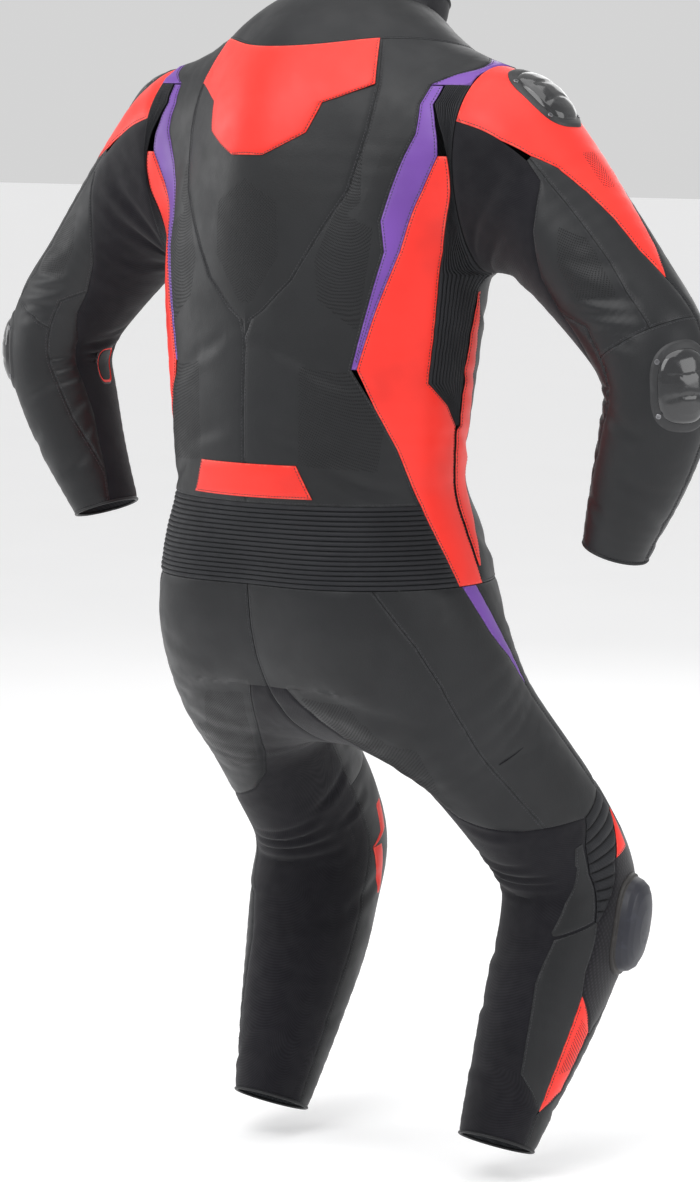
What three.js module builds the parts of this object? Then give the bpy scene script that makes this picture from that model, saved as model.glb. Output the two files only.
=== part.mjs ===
// A one-piece leather motorcycle race suit, filled out as on a rider and held up at the shoulders.
// Millimetres, +Z up, the wearer's front towards -Y and the wearer's left towards +X.
// The origin is at the base of the neck, between the shoulders.
// Every piece is a cut panel: a thin wall on one smooth figure of a trunk, two arms and two legs.
// A place on the figure is (u, v): u is degrees round a tube, from 0 at the back through 90 at the
// outer side to 180 at the front, and v is millimetres along the tube from its top.
import * as THREE from "three";

// Driving sizes
const LEATHER = 2.0; // wall of a leather panel
const STRETCH = 1.6; // wall of a stretch panel
const COLLAR_WALL = 2.6; // wall of the doubled collar
const SEAM_GAP = 0.3; // clear distance between two panels at a seam
const ARMHOLE_X = 226; // the armhole lies in the plane this far out from the middle
const ARMHOLE_TURN = 9; // walls turn square to the armhole's plane within this distance
const WAIST_V = 579; // the trunk ends and the legs start at this seam
const CUFF_V = 488; // a sleeve ends here
const WAIST_EASE = 0.4; // the legs start this much below the waist seam
const HEM_V = 765; // a leg ends here
const ROW_STEP = 44; // tallest row of a panel
const TRUNK_COLUMN = 62; // widest column of a panel on the trunk, along its chord
const ARM_COLUMN = 46;
const LEG_COLUMN = 54;
const RIB_RISE = 2.4; // an accordion rib stands this far out of its panel
const SIDE_RIBS = 8; // upright ribs in the panel below each armhole
const WAIST_RIB_PITCH = 7.4;
const KNEE_RIB_PITCH = 17;
const RIB_INSET = 0.7; // a ribbed panel keeps this far back from its seam lines
const OVERLAY_LIFT = 1.3; // inner face of a piece that lies on a panel
const GUARD_LIFT = 0.8; // a hard cup or slider sits this close on its panel
const YOKE_LIFT = 2.4; // the yoke clears the hollow above the hump by more
const ARM_BLEND = 60; // round of the hollow where an arm joins the trunk
const LEG_BLEND = 50; // round of the hollow where a leg joins the trunk
const HUMP_BLEND = 36; // round of the foot of the back hump

// The trunk, from the collar down. Columns: x, y, z of the centre, half width, half depth.
const TRUNK = [
  [0, -61, 82, 81, 74],
  [0, -32, 38, 89, 82],
  [0, -9, 8, 112, 96],
  [0, 6, -18, 153, 112],
  [0, 17, -52, 190, 124],
  [0, 26, -105, 205, 136],
  [0, 37, -180, 211, 140],
  [0, 46, -250, 209, 138],
  [0, 53, -340, 197, 136],
  [0, 56, -430, 185, 134],
  [0, 53, -497, 181, 132],
  [0, 47, -570, 190, 138],
  [0, 40, -635, 176, 130],
  [0, 14, -697, 100, 84],
];
// An arm, from the shoulder to the wrist. Columns as for the trunk.
const ARM = [
  [158, 10, -72, 68, 72],
  [216, 11, -88, 86, 86],
  [269, 11, -134, 84, 82],
  [328, 10, -191, 74, 74],
  [382, 10, -248, 67, 68],
  [426, 12, -300, 64, 65],
  [442, 12, -350, 61, 62],
  [430, 10, -402, 57, 58],
  [411, 8, -454, 50, 51],
  [388, 4, -506, 41, 43],
  [366, -3, -562, 33, 35],
];
// A leg, from inside the hip to the ankle. Columns as for the trunk.
const LEG = [
  [88, 41, -560, 86, 126],
  [101, 35, -620, 98, 130],
  [120, 13, -690, 102, 112],
  [150, -40, -760, 80, 92],
  [169, -98, -830, 74, 84],
  [180, -152, -896, 74, 81],
  [187, -178, -950, 76, 82],
  [190, -167, -1005, 74, 82],
  [185, -143, -1065, 70, 76],
  [180, -113, -1130, 61, 67],
  [174, -82, -1195, 51, 55],
  [170, -54, -1255, 42, 46],
];
// The hump on the upper back, an egg shape. Its centre and its three half sizes.
const HUMP = { centre: [0, 92, -128], half: [96, 88, 158] };

// Where the rings of each tube stand. Columns: v, x, y, z of the ring's centre, its tilt in degrees.
const TRUNK_RINGS = [
  [-86, 0, -63, 84, 22],
  [-60, 0, -47, 60, 20],
  [-30, 0, -27, 30, 16],
  [0, 0, -9, 4, 12],
  [40, 0, 11, -40, 6],
  [90, 0, 24, -90, 0],
  [180, 0, 37, -180, 0],
  [250, 0, 46, -250, 0],
  [340, 0, 53, -340, 0],
  [430, 0, 56, -430, 0],
  [497, 0, 53, -497, 0],
  [579, 0, 46, -579, 0],
];
const ARM_RINGS = [
  [0, 226, 11, -105, 0],
  [28, 256, 11, -120, 14],
  [56, 281, 11, -141, 28],
  [84, 301, 10, -165, 41],
  [145, 349, 10, -212, 46],
  [205, 395, 10, -262, 50],
  [255, 430, 12, -304, 62],
  [300, 442, 12, -346, 80],
  [345, 434, 10, -392, 98],
  [400, 415, 8, -446, 106],
  [460, 391, 4, -506, 109],
  [520, 368, -2, -560, 110],
];
const LEG_RINGS = [
  [0, 90, 41, -579, 0],
  [60, 101, 31, -638, 4],
  [120, 118, 11, -694, 14],
  [185, 136, -23, -748, 26],
  [250, 155, -67, -796, 34],
  [315, 170, -109, -842, 35],
  [380, 181, -147, -890, 26],
  [440, 187, -174, -942, 8],
  [500, 190, -169, -1002, -8],
  [565, 185, -145, -1063, -20],
  [640, 180, -114, -1130, -26],
  [705, 175, -85, -1190, -27],
  [765, 171, -60, -1244, -24],
];

// Seam lines. Columns: v, then u in degrees.
const TRUNK_SEAMS = {
  yokeSide: [[8, 49], [40, 51], [52, 31], [76, 26], [98, 8]],
  backInner: [[8, 50], [40, 52], [76, 50], [136, 45], [170, 38], [204, 31], [236, 24], [270, 10],
    [281, 3], [300, 0], [487, 0]],
  backOuter: [[8, 90], [18, 89.3], [40, 67], [52, 64.5], [76, 64], [98, 62], [170, 57],
    [204, 59], [270, 55], [334, 51], [376, 60], [424, 69], [487, 78]],
  insertOuter: [[52, 66.5], [98, 69], [136, 68], [204, 64], [270, 58], [334, 53]],
  redInner: [[334, 53], [376, 60], [424, 69], [487, 78], [579, 87]],
  redOuter: [[98, 70.5], [136, 73], [204, 77], [300, 78], [350, 78], [376, 87], [400, 93],
    [487, 97], [579, 100]],
  ribInner: [[40, 70], [52, 67.5], [98, 70.5]],
  ribOuter: [[204, 94.5], [300, 93], [376, 94], [400, 95]],
};
const ARM_SEAMS = {
  redBack: [[0, 28], [36, 33], [60, 42], [78, 54], [108, 63], [144, 71], [180, 75], [212, 85.4]],
  redFront: [[0, 150], [60, 136], [108, 120], [180, 104], [212, 86.8]],
  outerBack: [[60, 40], [108, 42], [180, 42], [212, 39], [250, 40]],
  stretchBack: [[0, 28], [36, 33], [60, 37], [78, 36], [108, 4], [144, -22], [180, -34], [212, -38],
    [250, -56], [384, -68], [452, -62], [488, -52]],
  gussetBack: [[180, -33.4], [212, -16], [250, -24], [384, -40], [452, -60.6]],
  frontTop: [[212, 86], [250, 100], [488, 100]],
  frontUnder: [[0, 210], [488, 210]],
};
const LEG_SEAMS = {
  thighSide: [[0, 30], [60, 46], [100, 52], [150, 54], [316, 52]],
  leatherEdge: [[100, -33], [150, -32], [205, -28], [240, -20], [265, -5], [290, 25], [316, 57],
    [342, 90]],
  purpleInner: [[0, 84], [60, 100], [100, 114], [150, 124.6]],
  purpleOuter: [[0, 97], [60, 112], [100, 120], [150, 126]],
  frontSide: [[150, 125.3], [205, 130], [342, 131]],
  calfBack: [[342, 90], [372, 73], [414, 62], [486, 61], [516, 27], [582, 24], [654, 32], [690, 38],
    [722, 81], [765, 82]],
  ribFront: [[342, 131], [372, 129], [414, 93], [486, 63.5]],
  calfFront: [[486, 63.5], [552, 66], [582, 72], [654, 76], [722, 82.4]],
  redFront: [[582, 72.8], [618, 106], [690, 111], [722, 83.8]],
  loopFront: [[342, 133.5], [372, 136], [414, 139], [516, 140], [582, 124], [618, 109]],
};

// Joins the rows of a table by a smooth curve, in equal steps between rows.
const STEPS_BETWEEN = 4;
function smoothRows(rows) {
  const last = rows.length - 1;
  const before = rows[0].map((value, c) => 2 * value - rows[1][c]);
  const after = rows[last].map((value, c) => 2 * value - rows[last - 1][c]);
  const all = [before, ...rows, after];
  const out = [];
  for (let i = 1; i < all.length - 2; i++) {
    for (let k = 0; k < STEPS_BETWEEN; k++) {
      const t = k / STEPS_BETWEEN;
      out.push(rows[0].map((_, c) => {
        const [p, q, r, s] = [all[i - 1][c], all[i][c], all[i + 1][c], all[i + 2][c]];
        return 0.5 * (2 * q + (r - p) * t + (2 * p - 5 * q + 4 * r - s) * t * t
          + (3 * q - p - 3 * r + s) * t * t * t);
      }));
    }
  }
  out.push(rows[last]);
  return out;
}

// A tube of elliptical sections along a curve, as a function that is negative inside.
class Limb {
  constructor(rows) {
    this.rings = smoothRows(rows).map(([x, y, z, wide, deep]) => (
      { centre: new THREE.Vector3(x, y, z), wide, deep }));
    const count = this.rings.length;
    this.rings.forEach((ring, i) => {
      const next = this.rings[Math.min(i + 1, count - 1)].centre;
      const previous = this.rings[Math.max(i - 1, 0)].centre;
      const along = next.clone().sub(previous).normalize();
      ring.back = new THREE.Vector3(0, 1, 0).addScaledVector(along, -along.y).normalize();
      ring.out = ring.back.clone().cross(along);
    });
  }

  distance(px, py, pz) {
    let best = Infinity;
    for (let i = 0; i < this.rings.length - 1; i++) {
      const a = this.rings[i];
      const b = this.rings[i + 1];
      const dx = b.centre.x - a.centre.x;
      const dy = b.centre.y - a.centre.y;
      const dz = b.centre.z - a.centre.z;
      const wx = px - a.centre.x;
      const wy = py - a.centre.y;
      const wz = pz - a.centre.z;
      const squared = dx * dx + dy * dy + dz * dz;
      const t = (wx * dx + wy * dy + wz * dz) / squared;
      const held = Math.min(Math.max(t, 0), 1);
      const rest = 1 - held;
      const wide = a.wide * rest + b.wide * held;
      const deep = a.deep * rest + b.deep * held;
      const qx = wx - dx * held;
      const qy = wy - dy * held;
      const qz = wz - dz * held;
      const out = qx * (a.out.x * rest + b.out.x * held) + qy * (a.out.y * rest + b.out.y * held)
        + qz * (a.out.z * rest + b.out.z * held);
      const back = qx * (a.back.x * rest + b.back.x * held) + qy * (a.back.y * rest + b.back.y * held)
        + qz * (a.back.z * rest + b.back.z * held);
      const past = (t - held) * Math.sqrt(squared);
      const small = Math.min(wide, deep);
      const value = (Math.hypot(out / wide, back / deep, past / small) - 1) * small;
      if (value < best) best = value;
    }
    return best;
  }
}

const trunk = new Limb(TRUNK);
const arm = new Limb(ARM);
const leg = new Limb(LEG);

function blend(a, b, round) {
  const close = Math.max(round - Math.abs(a - b), 0) / round;
  return Math.min(a, b) - close * close * round * 0.25;
}

function humpDistance(x, y, z) {
  const [cx, cy, cz] = HUMP.centre;
  const [hx, hy, hz] = HUMP.half;
  return (Math.hypot((x - cx) / hx, (y - cy) / hy, (z - cz) / hz) - 1) * hy;
}

// The figure's distance, negative inside. It is the same on the left and on the right.
function figure(x, y, z) {
  const side = Math.abs(x);
  let value = blend(trunk.distance(side, y, z), humpDistance(side, y, z), HUMP_BLEND);
  value = blend(value, arm.distance(side, y, z), ARM_BLEND);
  return blend(value, leg.distance(side, y, z), LEG_BLEND);
}

function outward(p) {
  const e = 0.5;
  return new THREE.Vector3(
    figure(p.x + e, p.y, p.z) - figure(p.x - e, p.y, p.z),
    figure(p.x, p.y + e, p.z) - figure(p.x, p.y - e, p.z),
    figure(p.x, p.y, p.z + e) - figure(p.x, p.y, p.z - e),
  ).normalize();
}

// The row of a table at v, on a smooth curve through its rows.
function ringAt(rows, v) {
  let i = 0;
  while (i < rows.length - 2 && rows[i + 1][0] < v) i++;
  const slope = (k, c) => {
    const before = rows[Math.max(k - 1, 0)];
    const after = rows[Math.min(k + 1, rows.length - 1)];
    return (after[c] - before[c]) / (after[0] - before[0]);
  };
  const step = rows[i + 1][0] - rows[i][0];
  const t = (v - rows[i][0]) / step;
  return rows[0].map((_, c) => (2 * t ** 3 - 3 * t ** 2 + 1) * rows[i][c]
    + (t ** 3 - 2 * t ** 2 + t) * step * slope(i, c)
    + (3 * t ** 2 - 2 * t ** 3) * rows[i + 1][c] + (t ** 3 - t ** 2) * step * slope(i + 1, c));
}

// The value of a seam line at v, straight between its rows.
function seamAt(rows, v) {
  if (v <= rows[0][0]) return rows[0][1];
  for (let i = 1; i < rows.length; i++) {
    if (v <= rows[i][0]) {
      const t = (v - rows[i - 1][0]) / (rows[i][0] - rows[i - 1][0]);
      return rows[i - 1][1] + (rows[i][1] - rows[i - 1][1]) * t;
    }
  }
  return rows[rows.length - 1][1];
}

// A tube's own grid of rings and angles, which its panels share.
class Tube {
  constructor(rings, seams, ends, columnStep, directions) {
    this.rings = rings;
    this.columnStep = columnStep;
    this.ends = ends;
    this.directions = directions;
    this.seams = seams;
    this.known = new Map();
    this.shift = () => 0;
    const marks = new Set(ends);
    Object.values(seams).forEach((rows) => rows.forEach(([v]) => marks.add(v)));
    this.marks = marks;
  }

  addMark(v) {
    this.marks.add(v);
  }

  // The heights of all rows from one v to another.
  rows(from, to) {
    const kept = [...this.marks].filter((v) => v > from + 2 && v < to - 2).sort((a, b) => a - b);
    const out = [from];
    [...kept, to].forEach((v) => {
      const start = out[out.length - 1];
      const parts = Math.ceil((v - start) / ROW_STEP);
      for (let k = 1; k <= parts; k++) out.push(start + ((v - start) * k) / parts);
    });
    return out;
  }

  // The figure's surface at (u, v): from the ring's centre outward until it leaves the figure.
  surface(u, v) {
    const key = `${u.toFixed(4)},${v.toFixed(4)}`;
    if (this.known.has(key)) return this.known.get(key).clone();
    const [, x, y, z, tilt] = ringAt(this.rings, v + this.shift(u, v));
    const angle = THREE.MathUtils.degToRad(u);
    const { back, out } = this.directions(THREE.MathUtils.degToRad(tilt));
    const way = back.multiplyScalar(Math.cos(angle)).addScaledVector(out, Math.sin(angle));
    const value = (t) => figure(x + way.x * t, y + way.y * t, z + way.z * t);
    const stride = 12;
    const reach = 420;
    let far = 18;
    while (far < reach && value(far) <= 0) far += stride;
    let near = Math.max(far - stride, 0);
    for (let k = 0; k < 12; k++) {
      const middle = (near + far) / 2;
      if (value(middle) > 0) far = middle;
      else near = middle;
    }
    const point = new THREE.Vector3(x, y, z).addScaledVector(way, (near + far) / 2);
    this.known.set(key, point);
    return point.clone();
  }
}

const trunkTube = new Tube(TRUNK_RINGS, TRUNK_SEAMS, [-86, 8, WAIST_V], TRUNK_COLUMN, (tilt) => ({
  back: new THREE.Vector3(0, Math.cos(tilt), Math.sin(tilt)),
  out: new THREE.Vector3(1, 0, 0),
}));
const armTube = new Tube(ARM_RINGS, ARM_SEAMS, [0, CUFF_V], ARM_COLUMN, (tilt) => ({
  back: new THREE.Vector3(0, 1, 0),
  out: new THREE.Vector3(Math.sin(tilt), 0, Math.cos(tilt)),
}));
// The collar's seam rises over each shoulder. Heights near it follow it.
const COLLAR_SEAM_V = 8;
const COLLAR_RISE = 24; // how far the seam rises at the side of the neck
const COLLAR_REACH_UP = 66;
const COLLAR_REACH_DOWN = 60;
function collarShift(u, v) {
  const reach = v < COLLAR_SEAM_V ? COLLAR_REACH_UP : COLLAR_REACH_DOWN;
  const off = Math.min(Math.abs(v - COLLAR_SEAM_V) / reach, 1);
  const near = 1 - off * off * (3 - 2 * off);
  return -COLLAR_RISE * near * Math.sin(THREE.MathUtils.degToRad(u)) ** 2;
}
trunkTube.shift = collarShift;
const legTube = new Tube(LEG_RINGS, LEG_SEAMS, [0, HEM_V], LEG_COLUMN, (tilt) => ({
  back: new THREE.Vector3(0, Math.cos(tilt), -Math.sin(tilt)),
  out: new THREE.Vector3(1, 0, 0),
}));

// The first angle from one u towards another where the surface passes a plane x = limit.
function crossing(tube, v, from, to, passed) {
  const strides = 75;
  for (let k = 1; k <= strides; k++) {
    const u = from + ((to - from) * k) / strides;
    if (passed(tube.surface(u, v).x)) {
      let before = from + ((to - from) * (k - 1)) / strides;
      let after = u;
      for (let i = 0; i < 14; i++) {
        const middle = (before + after) / 2;
        if (passed(tube.surface(middle, v).x)) after = middle;
        else before = middle;
      }
      return before;
    }
  }
  return null;
}

// The height at which a condition changes between two heights.
function changeHeight(from, to, holds) {
  let a = from;
  let b = to;
  for (let i = 0; i < 20; i++) {
    const middle = (a + b) / 2;
    if (holds(middle)) b = middle;
    else a = middle;
  }
  return (a + b) / 2;
}

const pastArmhole = (x) => x >= ARMHOLE_X - SEAM_GAP;
const pastMiddle = (x) => x <= 0;
const armholeTop = changeHeight(-6, 60, (v) => pastArmhole(trunkTube.surface(90, v).x));
const ARMPIT_U = 94.5; // the armhole's lowest point is at this angle
const armholeFoot = changeHeight(190, 300, (v) => (
  !pastArmhole(trunkTube.surface(ARMPIT_U, v).x)));
trunkTube.addMark(armholeTop);
trunkTube.addMark(armholeFoot);
trunkTube.addMark(armholeFoot - 6);
const inArmhole = (v) => v > armholeTop && v < armholeFoot;
const armholeMiddle = (v) => (v < 120 ? 90 : ARMPIT_U);
const armholeEdge = (v, from) => (
  inArmhole(v) ? crossing(trunkTube, v, from, armholeMiddle(v), pastArmhole) : null)
  ?? armholeMiddle(v);
const armholeBack = (v) => armholeEdge(v, 50);
const armholeFront = (v) => armholeEdge(v, 150);

// The middle seam of the seat and of the fly, and the crotch point where they meet.
const INSEAM_U = 270;
const meetsMiddle = (v) => crossing(legTube, v, 360, 180, pastMiddle) !== null;
const crotchV = changeHeight(60, 300, (v) => !meetsMiddle(v)) - 0.5;
legTube.addMark(crotchV);
legTube.addMark(crotchV - 9);
[432, 450, 468].forEach((v) => legTube.addMark(v));
const centreBack = (v) => (v < crotchV ? crossing(legTube, v, 360, 200, pastMiddle) : INSEAM_U) - 360;
const centreFront = (v) => (v < crotchV ? crossing(legTube, v, 180, 340, pastMiddle) : INSEAM_U);

const finishes = {
  black: { color: 0x26282b, roughness: 0.5 },
  stretch: { color: 0x111016, roughness: 0.9 },
  red: { color: 0xfa3e34, roughness: 0.45 },
  purple: { color: 0x7048a0, roughness: 0.45 },
  cup: { color: 0x17181a, roughness: 0.25 },
  slider: { color: 0x15161c, roughness: 0.45 },
  zip: { color: 0x1a1a1c, roughness: 0.6 },
};
function material(finish) {
  return new THREE.MeshStandardMaterial({ metalness: 0, ...finishes[finish] });
}

// The closed body between two grids of points, one outside and one inside.
function wallMesh(name, outer, inner, finish, side) {
  const rowCount = outer.length;
  const columnCount = outer[0].length;
  const points = [];
  [outer, inner].forEach((grid) => grid.forEach((row) => row.forEach((p) => {
    points.push(p.x * side, p.y, p.z);
  })));
  const at = (layer, i, j) => (layer * rowCount + i) * columnCount + j;
  const faces = [];
  const quad = (a, b, c, d) => {
    const order = side > 0 ? [a, c, b, a, d, c] : [a, b, c, a, c, d];
    faces.push(...order);
  };
  for (let i = 0; i < rowCount - 1; i++) {
    for (let j = 0; j < columnCount - 1; j++) {
      quad(at(0, i, j), at(0, i + 1, j), at(0, i + 1, j + 1), at(0, i, j + 1));
      quad(at(1, i, j), at(1, i, j + 1), at(1, i + 1, j + 1), at(1, i + 1, j));
    }
    quad(at(0, i, 0), at(1, i, 0), at(1, i + 1, 0), at(0, i + 1, 0));
    const last = columnCount - 1;
    quad(at(0, i, last), at(0, i + 1, last), at(1, i + 1, last), at(1, i, last));
  }
  for (let j = 0; j < columnCount - 1; j++) {
    const last = rowCount - 1;
    quad(at(0, 0, j), at(0, 0, j + 1), at(1, 0, j + 1), at(1, 0, j));
    quad(at(0, last, j), at(1, last, j), at(1, last, j + 1), at(0, last, j + 1));
  }
  const geometry = new THREE.BufferGeometry();
  geometry.setAttribute("position", new THREE.Float32BufferAttribute(points, 3));
  geometry.setIndex(faces);
  geometry.computeVertexNormals();
  const mesh = new THREE.Mesh(geometry, material(finish));
  mesh.name = name;
  return mesh;
}

// Each interval of rows or columns cut into rises and falls, for an accordion panel.
function ribbed(values, pitch) {
  const out = [{ value: values[0], raised: false }];
  for (let i = 1; i < values.length; i++) {
    const span = values[i] - values[i - 1];
    const halves = 2 * Math.max(1, Math.round(span / pitch));
    for (let k = 1; k <= halves; k++) {
      out.push({ value: values[i - 1] + (span * k) / halves, raised: k % 2 === 1 });
    }
  }
  return out;
}

const plainRise = () => 0;

// One panel of the wall, from v = from to v = to, between two seam lines.
// lift moves its inner face out of the figure, and rise adds to its outer face.
function panel(name, tube, options, side) {
  const {
    from, to, left, right, wall = LEATHER, finish = "black", lift = 0, rise = plainRise,
    ribRows = 0, ribColumns = 0, inset = SEAM_GAP / 2, shares = null,
  } = options;
  const heights = ribRows ? ribbed(tube.rows(from, to), ribRows)
    : tube.rows(from, to).map((value) => ({ value, raised: false }));
  const width = Math.max(...heights.map(({ value }) => (
    tube.surface(left(value), value).distanceTo(tube.surface(right(value), value)))));
  const middle = heights[Math.floor(heights.length / 2)].value;
  const turn = Math.abs(right(middle) - left(middle));
  const round = turn > 150 ? 1.6 : 1.1;
  const columns = ribColumns ? 2 * ribColumns
    : options.columns ?? Math.max(1, Math.ceil((width * round) / tube.columnStep));
  const outer = [];
  const inner = [];
  heights.forEach(({ value: v, raised }, i) => {
    const outerRow = [];
    const innerRow = [];
    for (let j = 0; j <= columns; j++) {
      const share = shares ? shares[j] : j / columns;
      let u = left(v) + (right(v) - left(v)) * share;
      let height = v;
      const perDegree = tube.surface(u + 0.5, v).distanceTo(tube.surface(u - 0.5, v));
      if (j === 0) u += inset / perDegree;
      if (j === columns) u -= inset / perDegree;
      const perStep = tube.surface(u, v + 0.5).distanceTo(tube.surface(u, v - 0.5));
      if (i === 0) height += SEAM_GAP / 2 / perStep;
      if (i === heights.length - 1) height -= SEAM_GAP / 2 / perStep;
      const point = tube.surface(u, height);
      const normal = outward(point);
      // Near the armhole the wall's edge turns square to the armhole's plane.
      const off = Math.abs(point.x - ARMHOLE_X) / ARMHOLE_TURN;
      if (off < 1) normal.setX(normal.x * off).normalize();
      const up = raised || (ribColumns && j % 2 === 1) ? RIB_RISE : 0;
      const edge = lift > 0 ? 0 : -wall;
      outerRow.push(point.clone().addScaledVector(normal, lift + (lift > 0 ? wall : 0) + up
        + rise(share, (v - from) / (to - from))));
      innerRow.push(point.clone().addScaledVector(normal, lift + edge));
    }
    outer.push(outerRow);
    inner.push(innerRow);
  });
  return wallMesh(name, outer, inner, finish, side);
}

const suit = new THREE.Group();
const LEFT = 1;
const RIGHT = -1;
const line = (rows) => (v) => seamAt(rows, v);
const level = (u) => () => u;

// A panel that crosses the middle, the same on both sides of it.
function middlePanel(name, options) {
  const { side } = options;
  suit.add(panel(name, trunkTube, { ...options, left: (v) => -side(v), right: side }, LEFT));
}
// A panel on the wearer's left and its mirror image on the right.
function pairOfPanels(name, tube, options) {
  suit.add(panel(`${name}_left`, tube, options, LEFT));
  suit.add(panel(`${name}_right`, tube, options, RIGHT));
}

const ZIP_EDGE = 176; // the front zip lies between this angle and its mirror
const trunkLine = Object.fromEntries(
  Object.entries(TRUNK_SEAMS).map(([name, rows]) => [name, line(rows)]));
const armLine = Object.fromEntries(
  Object.entries(ARM_SEAMS).map(([name, rows]) => [name, line(rows)]));
const legLine = Object.fromEntries(
  Object.entries(LEG_SEAMS).map(([name, rows]) => [name, line(rows)]));

// Collar and middle of the trunk. The collar's columns stand on those of the panels below it.
const BAND_V = -62;
const CENTRE_COLUMNS = 6;
const BODY_COLUMNS = 4;
const FRONT_COLUMNS = 7;
function spread(from, to, count) {
  return Array.from({ length: count }, (_, k) => from + ((to - from) * k) / count);
}
const CENTRE_U = TRUNK_SEAMS.backInner[0][1];
const SIDE_U = 90;
const collarAngles = [
  ...spread(-ZIP_EDGE, -SIDE_U, FRONT_COLUMNS),
  ...spread(-SIDE_U, -CENTRE_U, BODY_COLUMNS),
  ...spread(-CENTRE_U, CENTRE_U, CENTRE_COLUMNS),
  ...spread(CENTRE_U, SIDE_U, BODY_COLUMNS),
  ...spread(SIDE_U, ZIP_EDGE, FRONT_COLUMNS),
  ZIP_EDGE,
];
const collarShares = collarAngles.map((u) => (u + ZIP_EDGE) / (2 * ZIP_EDGE));
middlePanel("collar_band", { from: -86, to: BAND_V, side: level(ZIP_EDGE), wall: COLLAR_WALL,
  columns: collarShares.length - 1, shares: collarShares });
middlePanel("collar_stand", { from: BAND_V, to: COLLAR_SEAM_V - SEAM_GAP, side: level(ZIP_EDGE), wall: COLLAR_WALL,
  columns: collarShares.length - 1, shares: collarShares });

// The yoke is sewn on top of the centre panel, which runs up to the collar below it.
suit.add(panel("back_centre", trunkTube, {
  from: COLLAR_SEAM_V, to: 281, left: (v) => -trunkLine.backInner(v), right: trunkLine.backInner,
  columns: CENTRE_COLUMNS }, LEFT));
middlePanel("back_yoke", { from: COLLAR_SEAM_V + 1, to: 98, side: trunkLine.yokeSide,
  lift: YOKE_LIFT, wall: 1.6, columns: 10, finish: "red" });
middlePanel("waist_rib", { from: 487, to: WAIST_V, side: trunkLine.redInner, wall: STRETCH,
  ribRows: WAIST_RIB_PITCH, columns: 10, finish: "stretch" });
const tabSide = line([[442, 29], [480, 36]]);
middlePanel("back_tab", { from: 442, to: 480, side: tabSide, lift: OVERLAY_LIFT, wall: 1.8,
  columns: 6, finish: "red" });
suit.add(panel("front_zip", trunkTube, { from: -86, to: WAIST_V, left: level(ZIP_EDGE),
  right: level(360 - ZIP_EDGE), columns: 2, finish: "zip" }, LEFT));

// Sides and front of the trunk
pairOfPanels("back_body", trunkTube, { from: COLLAR_SEAM_V, to: 487, left: trunkLine.backInner,
  right: trunkLine.backOuter, columns: BODY_COLUMNS });
pairOfPanels("back_insert", trunkTube, { from: 52, to: 334, left: trunkLine.backOuter,
  right: trunkLine.insertOuter, finish: "purple" });
pairOfPanels("shoulder_insert", trunkTube, { from: 18, to: 40, left: trunkLine.backOuter,
  right: armholeBack, finish: "purple" });
pairOfPanels("side_red", trunkTube, { from: 98, to: WAIST_V,
  left: (v) => (v <= 334 ? trunkLine.insertOuter(v) : trunkLine.redInner(v)),
  right: trunkLine.redOuter, finish: "red" });
pairOfPanels("side_rib", trunkTube, { from: 40, to: 400,
  left: (v) => (v <= 98 ? trunkLine.ribInner(v) : trunkLine.redOuter(v)),
  right: (v) => (v < armholeFoot ? armholeBack(v) : trunkLine.ribOuter(v)),
  wall: STRETCH, ribColumns: SIDE_RIBS, inset: RIB_INSET, finish: "stretch" });
pairOfPanels("front_body", trunkTube, { from: COLLAR_SEAM_V, to: WAIST_V,
  left: (v) => {
    if (v < armholeFoot) return armholeFront(v);
    return v <= 400 ? trunkLine.ribOuter(v) : trunkLine.redOuter(v);
  },
  right: level(ZIP_EDGE), columns: FRONT_COLUMNS });

// Sleeves
pairOfPanels("sleeve_red", armTube, { from: 0, to: 212, left: armLine.redBack,
  right: armLine.redFront, finish: "red" });
pairOfPanels("sleeve_outer", armTube, { from: 60, to: 250, left: armLine.outerBack,
  right: (v) => (v <= 212 ? armLine.redBack(v) : armLine.frontTop(v)) });
pairOfPanels("sleeve_back", armTube, { from: 60, to: 250,
  left: (v) => (v < 180 ? armLine.stretchBack(v) : armLine.gussetBack(v)),
  right: armLine.outerBack });
pairOfPanels("sleeve_stretch", armTube, { from: 0, to: CUFF_V,
  left: (v) => armLine.frontUnder(v) - 360, right: armLine.stretchBack, wall: STRETCH,
  finish: "stretch" });
pairOfPanels("sleeve_front", armTube, { from: 0, to: CUFF_V,
  left: (v) => (v <= 212 ? armLine.redFront(v) : armLine.frontTop(v)),
  right: armLine.frontUnder });
pairOfPanels("forearm_back", armTube, { from: 250, to: CUFF_V,
  left: (v) => (v <= 452 ? armLine.gussetBack(v) : armLine.stretchBack(v)),
  right: armLine.frontTop });
pairOfPanels("forearm_gusset", armTube, { from: 180, to: 452, left: armLine.stretchBack,
  right: armLine.gussetBack });

// Legs
pairOfPanels("thigh_back", legTube, { from: WAIST_EASE, to: 312,
  left: (v) => (v < 100 ? centreBack(v) : legLine.leatherEdge(v)), right: legLine.thighSide,
  inset: 0.25 });
pairOfPanels("thigh_outer", legTube, { from: WAIST_EASE, to: 342,
  left: (v) => (v <= 312 ? legLine.thighSide(v) : legLine.leatherEdge(v)),
  right: (v) => (v <= 150 ? legLine.purpleInner(v) : legLine.frontSide(v)) });
pairOfPanels("hip_stripe", legTube, { from: WAIST_EASE, to: 150, left: legLine.purpleInner,
  right: legLine.purpleOuter, finish: "purple" });
pairOfPanels("thigh_front", legTube, { from: WAIST_EASE, to: 342 - SEAM_GAP,
  left: (v) => (v <= 150 ? legLine.purpleOuter(v) : legLine.frontSide(v)), right: centreFront });
pairOfPanels("leg_stretch", legTube, { from: 100, to: HEM_V, left: centreBack,
  right: (v) => (v <= 342 ? legLine.leatherEdge(v) : legLine.calfBack(v)), wall: STRETCH,
  finish: "stretch" });
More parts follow.
